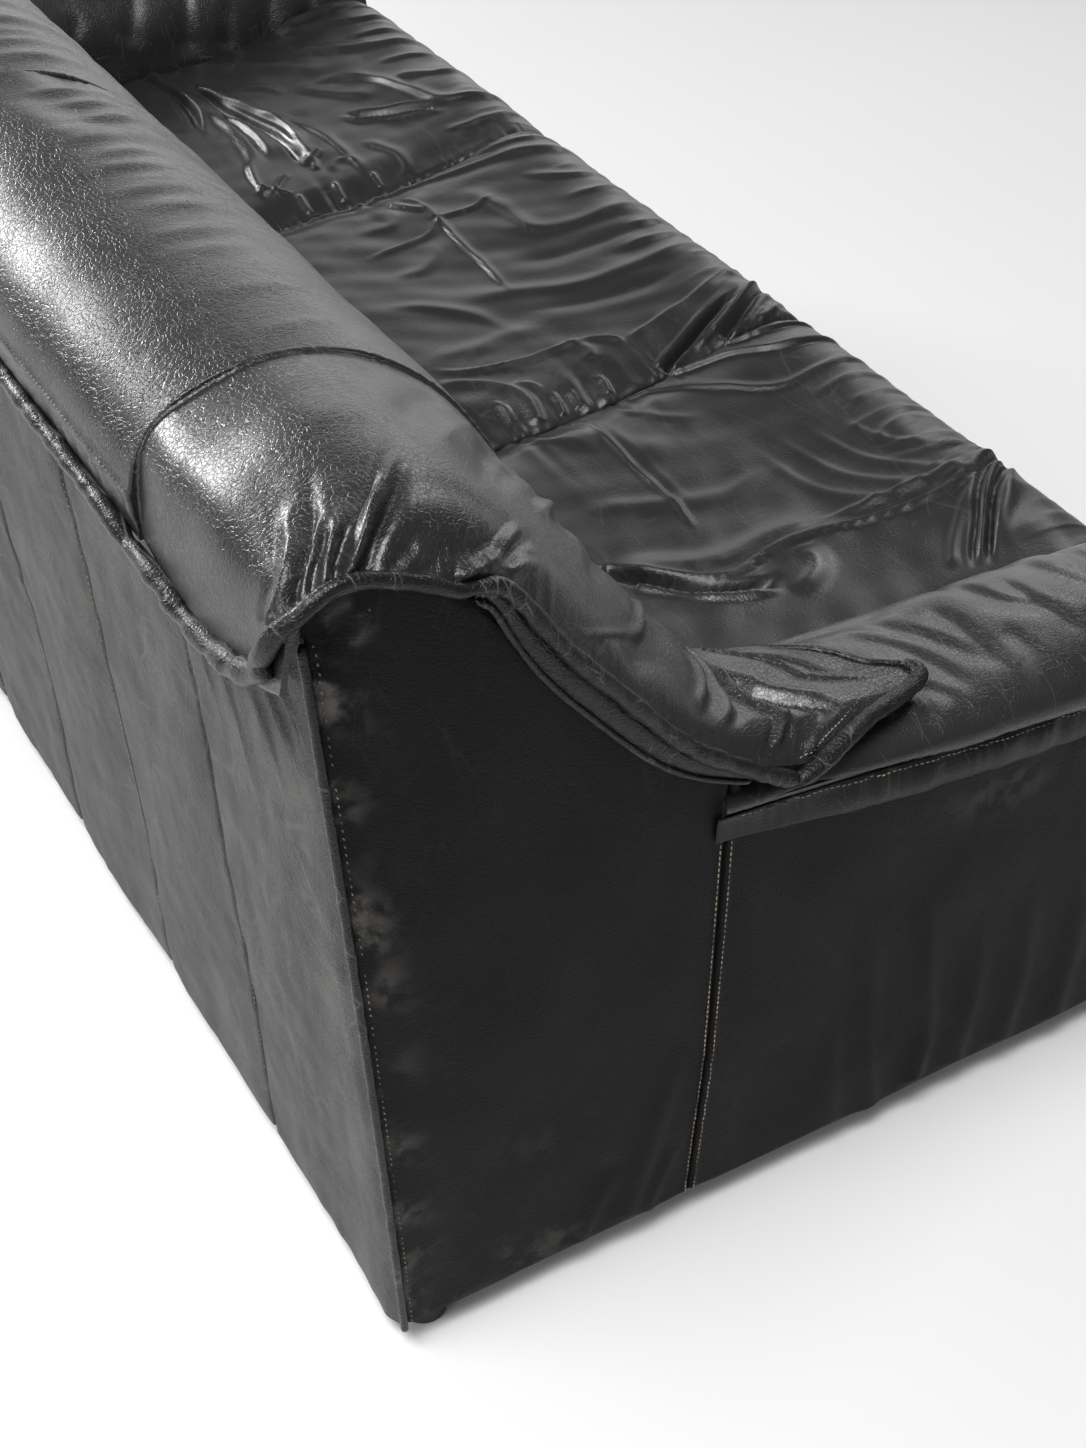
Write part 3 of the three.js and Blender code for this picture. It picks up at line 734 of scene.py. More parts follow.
middle_lines = [
    (0.0060, 0.0045, 0.4, 0.05, 0.10, (-0.130, -0.475), (-0.165, -0.430), (-0.187, -0.377), (-0.198, -0.321),
     (-0.208, -0.265)),
    (0.0045, 0.0040, 0.4, 0.05, 0.30, (-0.212, -0.262), (-0.193, -0.249), (-0.179, -0.229), (-0.173, -0.192),
     (-0.172, -0.146), (-0.153, -0.092), (-0.128, -0.060)),
    (0.0040, -0.0120, 0.0, 0.05, 0.30, (-0.270, -0.272), (-0.258, -0.292), (-0.245, -0.325), (-0.228, -0.367),
     (-0.210, -0.405)),
    (0.0040, -0.0075, 0.0, 0.05, 0.30, (-0.268, -0.345), (-0.250, -0.385), (-0.222, -0.425),
     (-0.180, -0.475)),
    (0.0045, 0.0055, 0.2, 0.10, 0.30, (-0.266, -0.310), (-0.256, -0.345), (-0.238, -0.385), (-0.208, -0.425),
     (-0.165, -0.480)),
    (0.0045, 0.0035, 0.2, 0.10, 0.30, (-0.272, -0.390), (-0.262, -0.415), (-0.235, -0.455), (-0.215, -0.490)),
    (0.0075, 0.0038, 0.4, 0.05, 0.20, (-0.270, -0.122), (-0.256, -0.126), (-0.233, -0.127), (-0.200, -0.112),
     (-0.175, -0.085), (-0.160, -0.055)),
    (0.0040, 0.0022, 0.4, 0.30, 0.30, (-0.262, -0.096), (-0.240, -0.100), (-0.222, -0.090)),
    (0.0040, 0.0026, 0.4, 0.30, 0.30, (-0.232, -0.150), (-0.215, -0.140), (-0.205, -0.122)),
    (0.0030, 0.0038, 0.0, 0.10, 0.30, (-0.270, -0.150), (-0.252, -0.154), (-0.235, -0.153)),
    (0.0028, 0.0030, 0.0, 0.10, 0.30, (-0.268, -0.169), (-0.252, -0.172), (-0.240, -0.170)),
    (0.0028, 0.0035, 0.0, 0.10, 0.30, (-0.268, -0.206), (-0.252, -0.210), (-0.238, -0.206)),
    (0.0080, 0.0035, 0.0, 0.20, 0.30, (-0.220, -0.215), (-0.200, -0.222), (-0.182, -0.215), (-0.178, -0.200)),
    (0.0120, 0.0045, 0.4, 0.05, 0.15, (0.277, -0.060), (0.273, -0.126), (0.266, -0.205), (0.252, -0.280),
     (0.226, -0.351), (0.203, -0.393), (0.190, -0.450), (0.200, -0.490)),
    (0.0055, 0.0035, 0.3, 0.10, 0.20, (0.226, -0.199), (0.215, -0.204), (0.196, -0.217), (0.182, -0.226)),
    (0.0040, 0.0035, 0.4, 0.02, 0.30, (0.158, -0.228), (0.130, -0.226), (0.085, -0.222), (0.041, -0.222),
     (-0.005, -0.218), (-0.052, -0.214)),
    (0.0040, 0.0032, 0.4, 0.02, 0.40, (0.158, -0.229), (0.136, -0.210), (0.130, -0.190), (0.127, -0.160),
     (0.122, -0.110)),
    (0.0040, 0.0030, 0.4, 0.02, 0.40, (0.160, -0.228), (0.186, -0.232), (0.215, -0.225), (0.250, -0.205)),
    (0.0045, 0.0028, 0.3, 0.02, 0.40, (0.158, -0.231), (0.155, -0.252), (0.150, -0.280), (0.158, -0.310)),
    (0.0100, 0.0032, 0.2, 0.30, 0.30, (0.200, -0.288), (0.160, -0.290), (0.113, -0.298), (0.070, -0.298),
     (0.030, -0.310)),
    (0.0110, 0.0035, 0.3, 0.30, 0.15, (0.110, -0.265), (0.070, -0.285), (0.040, -0.320), (0.024, -0.365),
     (0.018, -0.410), (0.035, -0.475)),
    (0.0110, 0.0032, 0.3, 0.30, 0.15, (-0.020, -0.150), (-0.045, -0.219), (-0.076, -0.271), (-0.095, -0.337),
     (-0.098, -0.400), (-0.080, -0.470)),
    (0.0090, 0.0026, 0.3, 0.30, 0.30, (0.010, -0.080), (-0.010, -0.115), (-0.035, -0.142), (-0.070, -0.165),
     (-0.110, -0.175)),
    (0.0100, -0.0022, 0.0, 0.30, 0.30, (-0.075, -0.190), (-0.105, -0.250), (-0.130, -0.320),
     (-0.140, -0.400)),
    (0.0100, -0.0020, 0.0, 0.30, 0.30, (0.020, -0.235), (-0.010, -0.300), (-0.030, -0.370), (-0.030, -0.440)),
    (0.0060, 0.0030, 0.4, 0.30, 0.10, (-0.050, -0.335), (-0.062, -0.380), (-0.060, -0.430), (-0.040, -0.480)),
    (0.0045, 0.0030, 0.5, 0.30, 0.05, (-0.120, -0.400), (-0.118, -0.430), (-0.100, -0.475)),
    (0.0045, 0.0030, 0.5, 0.30, 0.05, (-0.020, -0.370), (-0.026, -0.420), (-0.008, -0.475)),
    (0.0060, 0.0032, 0.4, 0.30, 0.05, (0.085, -0.355), (0.072, -0.400), (0.078, -0.440), (0.098, -0.480)),
    (0.0070, 0.0035, 0.4, 0.30, 0.10, (0.175, -0.345), (0.135, -0.375), (0.118, -0.415), (0.140, -0.475)),
    (0.0060, 0.0030, 0.4, 0.20, 0.10, (0.270, -0.330), (0.250, -0.370), (0.238, -0.420), (0.250, -0.475)),
    (0.0120, 0.0028, 0.3, 0.30, 0.30, (0.190, -0.130), (0.175, -0.175), (0.200, -0.190), (0.245, -0.175)),
    (0.0100, 0.0024, 0.3, 0.30, 0.30, (0.070, -0.120), (0.062, -0.160), (0.085, -0.190), (0.118, -0.196)),
    (0.0140, 0.0026, 0.0, 0.30, 0.30, (-0.105, -0.060), (-0.120, -0.110), (-0.118, -0.165), (-0.135, -0.215)),
]


def middle_folds(x, t):
    """The middle seat's folds."""
    return worked(x, t, middle_lines)


far_lines = [
    (0.0060, 0.0060, 0.5, 0.10, 0.10, (0.680, -0.137), (0.642, -0.148), (0.600, -0.160), (0.563, -0.172),
     (0.506, -0.186), (0.465, -0.187), (0.432, -0.180), (0.388, -0.180)),
    (0.0060, 0.0034, 0.3, 0.10, 0.20, (0.780, -0.108), (0.747, -0.108), (0.700, -0.113), (0.647, -0.120),
     (0.600, -0.117), (0.546, -0.100), (0.516, -0.094)),
    (0.0045, -0.0070, 0.0, 0.10, 0.15, (0.785, -0.094), (0.750, -0.097), (0.706, -0.100), (0.666, -0.108),
     (0.612, -0.106), (0.554, -0.094)),
    (0.0110, 0.0042, 0.3, 0.15, 0.15, (0.640, -0.128), (0.579, -0.124), (0.534, -0.127), (0.483, -0.122),
     (0.437, -0.115), (0.397, -0.102), (0.359, -0.094)),
    (0.0045, -0.0060, 0.0, 0.15, 0.30, (0.590, -0.136), (0.545, -0.139), (0.499, -0.140), (0.450, -0.134),
     (0.415, -0.124)),
    (0.0040, 0.0040, 0.2, 0.20, 0.20, (0.382, -0.160), (0.390, -0.170), (0.398, -0.186), (0.410, -0.196)),
    (0.0040, 0.0035, 0.2, 0.20, 0.20, (0.395, -0.176), (0.378, -0.174), (0.362, -0.166)),
    (0.0045, 0.0045, 0.2, 0.20, 0.20, (0.430, -0.106), (0.392, -0.096), (0.357, -0.091), (0.329, -0.097),
     (0.318, -0.108)),
    (0.0040, 0.0040, 0.2, 0.20, 0.20, (0.327, -0.095), (0.347, -0.110), (0.361, -0.122), (0.374, -0.138)),
    (0.0035, 0.0035, 0.2, 0.20, 0.20, (0.345, -0.080), (0.352, -0.093), (0.340, -0.104), (0.322, -0.118)),
    (0.0030, 0.0040, 0.0, 0.05, 0.30, (0.290, -0.124), (0.302, -0.123), (0.322, -0.123)),
    (0.0028, 0.0034, 0.0, 0.05, 0.30, (0.290, -0.169), (0.306, -0.170), (0.324, -0.172)),
    (0.0028, 0.0030, 0.0, 0.05, 0.30, (0.290, -0.219), (0.303, -0.220), (0.320, -0.222)),
    (0.0034, -0.0060, 0.0, 0.30, 0.30, (0.472, -0.262), (0.451, -0.280), (0.429, -0.311), (0.411, -0.334),
     (0.388, -0.358)),
    (0.0040, 0.0042, 0.0, 0.20, 0.20, (0.482, -0.262), (0.462, -0.284), (0.440, -0.315), (0.420, -0.342),
     (0.388, -0.370)),
    (0.0040, 0.0042, 0.0, 0.20, 0.20, (0.474, -0.252), (0.442, -0.274), (0.418, -0.304), (0.400, -0.330),
     (0.374, -0.358)),
    (0.0150, 0.0040, 0.3, 0.20, 0.30, (0.730, -0.180), (0.700, -0.205), (0.668, -0.235), (0.637, -0.265),
     (0.586, -0.300)),
    (0.0070, 0.0048, 0.4, 0.20, 0.10, (0.580, -0.245), (0.572, -0.290), (0.530, -0.327), (0.467, -0.346),
     (0.405, -0.365), (0.383, -0.395), (0.372, -0.440), (0.385, -0.490)),
    (0.0110, 0.0045, 0.3, 0.20, 0.10, (0.706, -0.261), (0.656, -0.311), (0.619, -0.351), (0.595, -0.390),
     (0.585, -0.440), (0.600, -0.490)),
    (0.0090, 0.0035, 0.3, 0.20, 0.30, (0.590, -0.240), (0.551, -0.265), (0.509, -0.294), (0.480, -0.315)),
    (0.0060, 0.0032, 0.4, 0.20, 0.20, (0.556, -0.166), (0.525, -0.185), (0.497, -0.200), (0.460, -0.211),
     (0.420, -0.216), (0.350, -0.216), (0.300, -0.213)),
    (0.0070, 0.0032, 0.3, 0.20, 0.30, (0.395, -0.245), (0.362, -0.258), (0.333, -0.266), (0.303, -0.262),
     (0.288, -0.240)),
    (0.0060, 0.0030, 0.3, 0.20, 0.30, (0.345, -0.220), (0.368, -0.208), (0.362, -0.190), (0.340, -0.180)),
    (0.0080, 0.0040, 0.4, 0.20, 0.10, (0.760, -0.300), (0.720, -0.345), (0.690, -0.385), (0.685, -0.430),
     (0.700, -0.480)),
    (0.0070, 0.0038, 0.4, 0.20, 0.10, (0.510, -0.345), (0.480, -0.375), (0.462, -0.410), (0.470, -0.470)),
    (0.0060, 0.0032, 0.4, 0.20, 0.10, (0.650, -0.345), (0.640, -0.385), (0.635, -0.430), (0.650, -0.480)),
    (0.0060, 0.0030, 0.4, 0.20, 0.10, (0.340, -0.330), (0.325, -0.370), (0.320, -0.420), (0.335, -0.480)),
    (0.0060, 0.0030, 0.4, 0.20, 0.10, (0.560, -0.350), (0.540, -0.390), (0.532, -0.430), (0.545, -0.480)),
    (0.0080, 0.0050, 0.0, 0.30, 0.30, (0.780, -0.300), (0.772, -0.335), (0.760, -0.370), (0.750, -0.400)),
    (0.0110, 0.0040, 0.0, 0.30, 0.30, (0.750, -0.290), (0.732, -0.293), (0.715, -0.290)),
    (0.0080, 0.0025, 0.2, 0.30, 0.30, (0.640, -0.180), (0.610, -0.215), (0.575, -0.225)),
]


def far_folds(x, t):
    """The far seat: a long hollow towards its outer end and its own folds."""
    deep = [(0.690, -0.130), (0.654, -0.137), (0.589, -0.146), (0.541, -0.157), (0.485, -0.168),
            (0.434, -0.167), (0.392, -0.164)]
    return trench(x, t, deep, 0.0055, 0.0100, (0.25, 0.10)) + worked(x, t, far_lines)


seat_section("seat_section_left_leather", -SEAT_END, -SEAT_SEAM - 0.0004, near_folds, 11)
seat_section("seat_section_middle_leather", -SEAT_SEAM, SEAT_SEAM, middle_folds, 12)
seat_section("seat_section_right_leather", SEAT_SEAM + 0.0004, SEAT_END, far_folds, 13)

# ---------------------------------------------------------------------------
# Back roll: three padded sections hooked over the back frame, tight at the rear,
# with soft wrinkles round the front and a narrow sewn groove between sections.
# ---------------------------------------------------------------------------
ROLL_SEAM_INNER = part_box("back_section_middle")[1].x
ROLL_SEAM_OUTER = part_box("back_section_right")[1].x
roll_outside = [(0.450, 0.657), (0.453, 0.685), (0.440, 0.720), (0.405, 0.746), (0.350, 0.756),
                (0.290, 0.744), (0.240, 0.711), (0.203, 0.667), (0.176, 0.617), (0.160, 0.560),
                (0.152, 0.500)]
roll_front = [(0.152, 0.500), (0.157, 0.430), (0.182, 0.354)]
roll_inside = [(0.182, 0.354), (0.338, 0.352), (0.338, 0.642), (0.4275, 0.642), (0.4275, 0.657),
               (0.450, 0.657)]
roll_rows = np.vstack([
    through(roll_outside, 0.0033),
    through(roll_front, 0.010)[1:],
    *[np.linspace(a, b, 5)[1:] for a, b in zip(roll_inside, roll_inside[1:])],
])
roll_s = run_along(roll_rows)
roll_end = np.linalg.norm(np.diff(through(roll_outside, 0.0033), axis=0), axis=1).sum()
roll_end += np.linalg.norm(np.diff(through(roll_front, 0.010), axis=0), axis=1).sum()
roll_soft = ease(roll_s, 0, 0.012) * (1 - ease(roll_s, roll_end - 0.02, roll_end))


def roll_section(name, x0, x1, folds, seed):
    """One section of the back roll between two seams."""
    xs = across_width(x0, x1, 0.0034, 0.85)
    x, s, points, normal = profile_grid(xs, roll_rows, roll_s, -1)
    edge = np.minimum(x - x0, x1 - x)
    lift = -sewn_in(edge, 0.0020, 0.0024, 0.0012, 0.04)
    lift += 0.0009 * drift(x, s, 0.10, seed)
    lift += puckers(s, edge, 0.009, 0.005, 0.0006, seed + 2)
    lift += 0.0016 * np.exp(-((s - 0.031) / 0.0035) ** 2) + 0.0008 * drift(x, 0 * s, 0.010, seed
            + 4) * np.exp(-((s - 0.020) / 0.012) ** 2)
    lift += folds(x, s)
    points += normal * (lift * roll_soft[:, None])[..., None]
    piece = skin(name, points, roll_leather, tube=True, capped=True)
    belongs(piece, name.replace("_leather", ""))


def wrinkles(x, s, starts, seed):
    """Soft wrinkles that run round the front of the roll, each from its own place."""
    rng = np.random.default_rng(seed)
    lift = np.zeros(x.shape)
    for start, height in starts:
        top = 0.135 + rng.uniform(0, 0.03)
        bend = rng.uniform(0.008, 0.022)
        line = [(start, top), (start + 0.2 * bend, 0.19), (start + bend, 0.25), (start + 2.2 * bend, 0.33)]
        lift += ridge(x, s, line, rng.uniform(0.007, 0.010), height, rng.uniform(-0.3, 0.3), (0.35, 0.3))
    return lift


def near_roll(x, s):
    """The near roll section's wrinkles, closest together in its middle."""
    starts = [(-0.735, 0.0007), (-0.675, 0.0010), (-0.610, 0.0012), (-0.578, 0.0016), (-0.535, 0.0022),
              (-0.506, 0.0022), (-0.484, 0.0024), (-0.462, 0.0026), (-0.440, 0.0026), (-0.408, 0.0022),
              (-0.388, 0.0024), (-0.362, 0.0026), (-0.330, 0.0022), (-0.300, 0.0022)]
    return wrinkles(x, s, starts, 41) + 0.002 * ease(x, -0.5, -0.3) * drift(x, s, 0.05, 44) * ease(s, 0.12,
            0.2)


def other_roll(x, s):
    """Evenly spread wrinkles for the other two roll sections."""
    places = np.linspace(x.min() + 0.03, x.max() - 0.03, 17)
    starts = [(p + 0.006 * math.sin(7 * k), 0.0026 + 0.0012 * math.sin(3 * k)) for k, p in enumerate(places)]
    return wrinkles(x, s, starts, 42)


roll_section("back_section_left_leather", -ROLL_SEAM_OUTER, -ROLL_SEAM_INNER - 0.0006, near_roll, 21)
roll_section("back_section_middle_leather", -ROLL_SEAM_INNER, ROLL_SEAM_INNER, other_roll, 22)
roll_section("back_section_right_leather", ROLL_SEAM_INNER + 0.0006, ROLL_SEAM_OUTER, other_roll, 23)

# ---------------------------------------------------------------------------
# Back ends: the last section at each end of the back. It swells over the shoulder,
# sweeps down towards the front and ends in a pointed flap that lies on the arm.
# ---------------------------------------------------------------------------
END_X = -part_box("end_cover_left")[0].x
end_share = [0.0, 0.08, 0.22, 0.50, 0.75, 1.0]
end_lines = [
    [(0.455, 0.690), (0.441, 0.732), (0.410, 0.744), (0.375, 0.736), (0.340, 0.720), (0.312, 0.706),
     (0.284, 0.666),
     (0.248, 0.619), (0.205, 0.569), (0.160, 0.525), (0.128, 0.501), (0.100, 0.487), (0.080, 0.483)],
    [(0.455, 0.681), (0.441, 0.740), (0.409, 0.758), (0.370, 0.758), (0.331, 0.743), (0.302, 0.722),
     (0.272, 0.685),
     (0.236, 0.635), (0.192, 0.581), (0.148, 0.536), (0.106, 0.508), (0.068, 0.494), (0.036, 0.488)],
    [(0.455, 0.670), (0.441, 0.734), (0.406, 0.760), (0.366, 0.767), (0.324, 0.755), (0.289, 0.728),
     (0.256, 0.690),
     (0.220, 0.640), (0.176, 0.585), (0.126, 0.534), (0.080, 0.505), (0.015, 0.495), (-0.056, 0.488)],
    [(0.455, 0.664), (0.441, 0.730), (0.405, 0.758), (0.362, 0.769), (0.318, 0.759), (0.282, 0.735),
     (0.243, 0.700),
     (0.205, 0.656), (0.163, 0.600), (0.120, 0.542), (0.086, 0.508), (0.052, 0.497), (0.010, 0.490)],
    [(0.453, 0.661), (0.441, 0.724), (0.405, 0.750), (0.358, 0.761), (0.305, 0.751), (0.262, 0.725),
     (0.226, 0.688),
     (0.196, 0.645), (0.166, 0.592), (0.138, 0.540), (0.114, 0.505), (0.095, 0.482), (0.078, 0.464)],
    [(0.4485, 0.660), (0.4365, 0.718), (0.403, 0.7425), (0.350, 0.753), (0.292, 0.741), (0.2425, 0.709),
     (0.2055, 0.6655),
     (0.179, 0.616), (0.163, 0.560), (0.1565, 0.515), (0.156, 0.470), (0.162, 0.420), (0.172, 0.390)],
]
under_outer = [(q - 0.003, r - 0.004) for q, r in end_lines[0]]
under_flap = [(0.449, 0.676), (0.436, 0.712), (0.410, 0.732), (0.375, 0.729), (0.338, 0.712), (0.308, 0.694),
              (0.280, 0.655), (0.244, 0.608), (0.200, 0.558), (0.152, 0.515), (0.104, 0.492),
              (0.030, 0.484), (-0.040, 0.480)]
under_inner = [(0.440, 0.655), (0.428, 0.650), (0.400, 0.645), (0.360, 0.645), (0.345, 0.640), (0.342, 0.600),
               (0.342, 0.560), (0.342, 0.520), (0.342, 0.480), (0.341, 0.440), (0.338, 0.410),
               (0.300, 0.385), (0.220, 0.385)]


def blend_through(knots, values, at):
    """Smooth values between knots along the first axis."""
    knots, values, at = np.array(knots, float), np.array(values, float), np.asarray(at, float)
    gaps = np.diff(knots)
    slope = (values[1:] - values[:-1]) / gaps.reshape((-1,) + (1,) * (values.ndim - 1))
    tangent = np.concatenate([slope[:1], np.zeros_like(slope[1:]), slope[-1:]])
    for k in range(1, len(knots) - 1):
        tangent[k] = (slope[k - 1] * gaps[k] + slope[k] * gaps[k - 1]) / (gaps[k]
                + gaps[k - 1]) * (slope[k - 1] * slope[k] > 0)
    k = np.clip(np.searchsorted(knots, at, side="right") - 1, 0, len(knots) - 2)
    shape = (-1,) + (1,) * (values.ndim - 1)
    h, t = gaps[k].reshape(shape), ((at - knots[k]) / gaps[k]).reshape(shape)
    return ((2 * t**3 - 3 * t**2 + 1) * values[k] + (t**3 - 2 * t**2 + t) * h * tangent[k]
            + (3 * t**2 - 2 * t**3) * values[k + 1] + (t**3 - t**2) * h * tangent[k + 1])


def even_rows(lines, count):
    """Spreads the sections of a fan of lines evenly along its length."""
    knots = np.arange(lines.shape[1])
    middle = blend_through(knots, lines[len(lines) // 2], np.linspace(0, knots[-1], 600))
    run = run_along(middle)
    return np.interp(np.linspace(0, run[-1], count), run, np.linspace(0, knots[-1], 600))


SEAM_GAP = 0.0006
FLAP_START = 8.5  # where the flap begins, counted along the end section's thirteen stations
end_width = END_X - ROLL_SEAM_OUTER + 0.005
end_u = 0.5 - 0.5 * np.cos(np.pi * np.linspace(0, 1, 118))
end_u = 0.75 * end_u + 0.25 * np.linspace(0, 1, 118)
end_lines = np.array(end_lines)
end_k = even_rows(end_lines, 290)
end_grid = blend_through(np.arange(13), blend_through(end_share, end_lines, end_u).transpose(1, 0, 2), end_k)
under = np.array([under_outer, under_flap, under_flap, under_inner])
under_k = np.linspace(0, 12, 60)
under_grid = blend_through(np.arange(13),
                           blend_through([0.0, 0.2, 0.62, 1.0], under, end_u).transpose(1, 0, 2), under_k)

flap_edge = [(1.008, 0.088, 0.479), (1.006, 0.070, 0.483), (0.994, 0.036, 0.487), (0.983, 0.009, 0.487),
             (0.976, -0.017, 0.487), (0.969, -0.042, 0.487), (0.961, -0.056, 0.488),
             (0.951, -0.058, 0.489), (0.944, -0.050, 0.489)]
far_edge = [(0.946, -0.054, 0.4885), (0.938, -0.044, 0.4885), (0.928, -0.030, 0.4885), (0.909, -0.016, 0.489),
            (0.893, 0.0, 0.489),
            (0.875, 0.024, 0.487), (0.862, 0.042, 0.481)]
flap_outline = [*flap_edge[1:-1], *far_edge[1:], (0.845, 0.068, 0.470), (0.812, 0.120, 0.44),
                (0.771, 0.172, 0.39)]
flap_x = [place[0] for place in flap_outline]
end_x = ROLL_SEAM_OUTER + SEAM_GAP + end_width * (1 - end_u)
flap_y = np.interp(-end_x, [-x for x in flap_x], [place[1] for place in flap_outline])
flap_part = ease(end_k, FLAP_START, 12)[:, None]
end_grid[..., 0] += flap_part * (flap_y - end_grid[-1, :, 0])
under_part = ease(under_k, FLAP_START, 12)[:, None] * (1 - ease(end_u, 0.78, 0.96))
under_grid[..., 0] += under_part * (flap_y + 0.003 - under_grid[-1, :, 0])
under_grid[..., 1] += under_part * (end_grid[-1, :, 1] - 0.006 - under_grid[-1, :, 1])

END_ACROSS = 0.235
END_STATION = 0.055
shoulder_folds = [
    (0.0055, -0.0045, 0, 0.02, 0.5, (0.018, 0.034), (0.020, 0.061), (0.034, 0.081), (0.061, 0.100),
     (0.074, 0.116)),
    (0.0040, 0.0022, 0, 0.05, 0.4, (0.016, 0.042), (0.026, 0.068), (0.045, 0.088), (0.062, 0.101)),
    (0.0055, 0.0042, 0.2, 0.02, 0.5, (0.007, 0.058), (0.016, 0.081), (0.034, 0.100), (0.056, 0.116),
     (0.074, 0.126), (0.092, 0.142)),
    (0.0035, -0.0036, 0, 0.02, 0.5, (0.006, 0.070), (0.016, 0.089), (0.029, 0.106), (0.048, 0.119)),
    (0.0040, 0.0030, 0, 0.02, 0.5, (0.005, 0.081), (0.016, 0.097), (0.026, 0.112), (0.044, 0.124)),
    (0.0030, -0.0032, 0, 0.02, 0.5, (0.004, 0.094), (0.015, 0.107), (0.024, 0.119), (0.036, 0.130)),
    (0.0036, 0.0032, 0, 0.02, 0.5, (0.004, 0.106), (0.014, 0.119), (0.022, 0.128), (0.034, 0.137)),
    (0.0040, -0.0085, 0, 0.01, 0.7, (0.003, 0.114), (0.015, 0.136), (0.028, 0.152), (0.044, 0.170),
     (0.061, 0.185), (0.088, 0.210)),
    (0.0050, 0.0042, 0.4, 0.02, 0.6, (0.004, 0.124), (0.016, 0.145), (0.027, 0.162), (0.042, 0.180),
     (0.062, 0.198)),
    (0.0040, 0.0026, 0, 0.02, 0.5, (0.003, 0.154), (0.008, 0.170), (0.014, 0.186), (0.022, 0.204)),
    (0.0030, -0.0020, 0, 0.02, 0.5, (0.003, 0.164), (0.008, 0.180), (0.014, 0.196)),
    (0.0045, 0.0020, 0, 0.02, 0.5, (0.003, 0.185), (0.011, 0.205), (0.020, 0.228)),
    (0.0040, -0.0075, 0, 0.01, 0.5, (0.002, 0.218), (0.008, 0.245), (0.018, 0.274), (0.044, 0.297),
     (0.064, 0.316)),
    (0.0035, -0.0040, 0, 0.02, 0.5, (0.003, 0.240), (0.008, 0.262), (0.015, 0.292), (0.035, 0.332)),
    (0.0060, 0.0030, 0, 0.10, 0.5, (0.006, 0.232), (0.012, 0.258), (0.027, 0.290), (0.054, 0.316),
     (0.075, 0.335)),
    (0.0150, 0.0035, 0, 0.20, 0.5, (0.214, 0.290), (0.180, 0.262), (0.145, 0.242), (0.105, 0.210)),
    (0.0110, 0.0042, 0.2, 0.20, 0.5, (0.212, 0.352), (0.186, 0.343), (0.145, 0.322), (0.105, 0.301),
     (0.061, 0.250)),
    (0.0100, 0.0036, 0.2, 0.20, 0.5, (0.172, 0.362), (0.150, 0.350), (0.099, 0.312), (0.070, 0.285)),
    (0.0120, -0.0030, 0, 0.20, 0.5, (0.200, 0.318), (0.165, 0.300), (0.120, 0.270), (0.080, 0.230)),
    (0.0045, -0.0040, 0, 0.20, 0.4, (0.162, 0.398), (0.148, 0.388), (0.136, 0.382), (0.112, 0.364),
     (0.086, 0.344)),
    (0.0090, 0.0034, 0.3, 0.20, 0.4, (0.160, 0.412), (0.140, 0.400), (0.118, 0.390), (0.090, 0.370)),
    (0.0080, 0.0030, 0, 0.20, 0.4, (0.150, 0.430), (0.122, 0.424), (0.092, 0.404), (0.060, 0.380)),
    (0.0028, -0.0030, 0, 0.10, 0.3, (0.130, 0.470), (0.113, 0.462), (0.085, 0.447), (0.066, 0.435),
     (0.049, 0.415)),
    (0.0022, -0.0016, 0, 0.20, 0.3, (0.009, 0.356), (0.024, 0.386), (0.061, 0.427)),
    (0.0120, 0.0045, 0, 0.20, 0.3, (0.018, 0.410), (0.050, 0.440), (0.090, 0.465), (0.130, 0.478)),
    (0.0040, -0.0033, 0, 0.15, 0.2, (0.135, 0.486), (0.110, 0.498), (0.090, 0.504), (0.059, 0.493),
     (0.036, 0.485), (0.018, 0.484)),
    (0.0069, 0.0025, 0.3, 0.15, 0.2, (0.140, 0.492), (0.112, 0.507), (0.085, 0.513), (0.059, 0.503),
     (0.036, 0.495), (0.014, 0.493)),
    (0.0037, -0.0030, 0, 0.15, 0.2, (0.150, 0.540), (0.120, 0.536), (0.090, 0.531), (0.056, 0.518),
     (0.026, 0.507), (0.010, 0.503)),
    (0.0075, 0.0023, 0.3, 0.15, 0.2, (0.145, 0.552), (0.118, 0.546), (0.090, 0.541), (0.056, 0.529),
     (0.028, 0.518), (0.010, 0.514)),
    (0.0030, -0.0055, 0, 0.15, 0.1, (0.110, 0.550), (0.085, 0.549), (0.056, 0.546), (0.030, 0.554),
     (0.015, 0.560), (0.006, 0.562)),
    (0.0028, -0.0040, 0, 0.05, 0.1, (0.034, 0.554), (0.022, 0.570), (0.013, 0.590), (0.005, 0.612)),
    (0.0065, 0.0062, 0.3, 0.20, 0.25, (0.100, 0.558), (0.086, 0.561), (0.069, 0.564), (0.049, 0.572),
     (0.032, 0.586), (0.020, 0.604)),
    (0.0060, -0.0030, 0, 0.20, 0.3, (0.094, 0.572), (0.074, 0.577), (0.054, 0.586), (0.040, 0.600)),
    (0.0035, 0.0030, 0, 0.20, 0.3, (0.026, 0.566), (0.016, 0.584), (0.010, 0.602)),
    (0.0026, -0.0032, 0, 0.10, 0.3, (0.142, 0.596), (0.122, 0.610), (0.100, 0.616), (0.077, 0.613),
     (0.061, 0.625), (0.048, 0.645)),
    (0.0060, 0.0026, 0, 0.10, 0.3, (0.140, 0.606), (0.118, 0.622), (0.096, 0.627), (0.078, 0.626),
     (0.064, 0.640)),
]
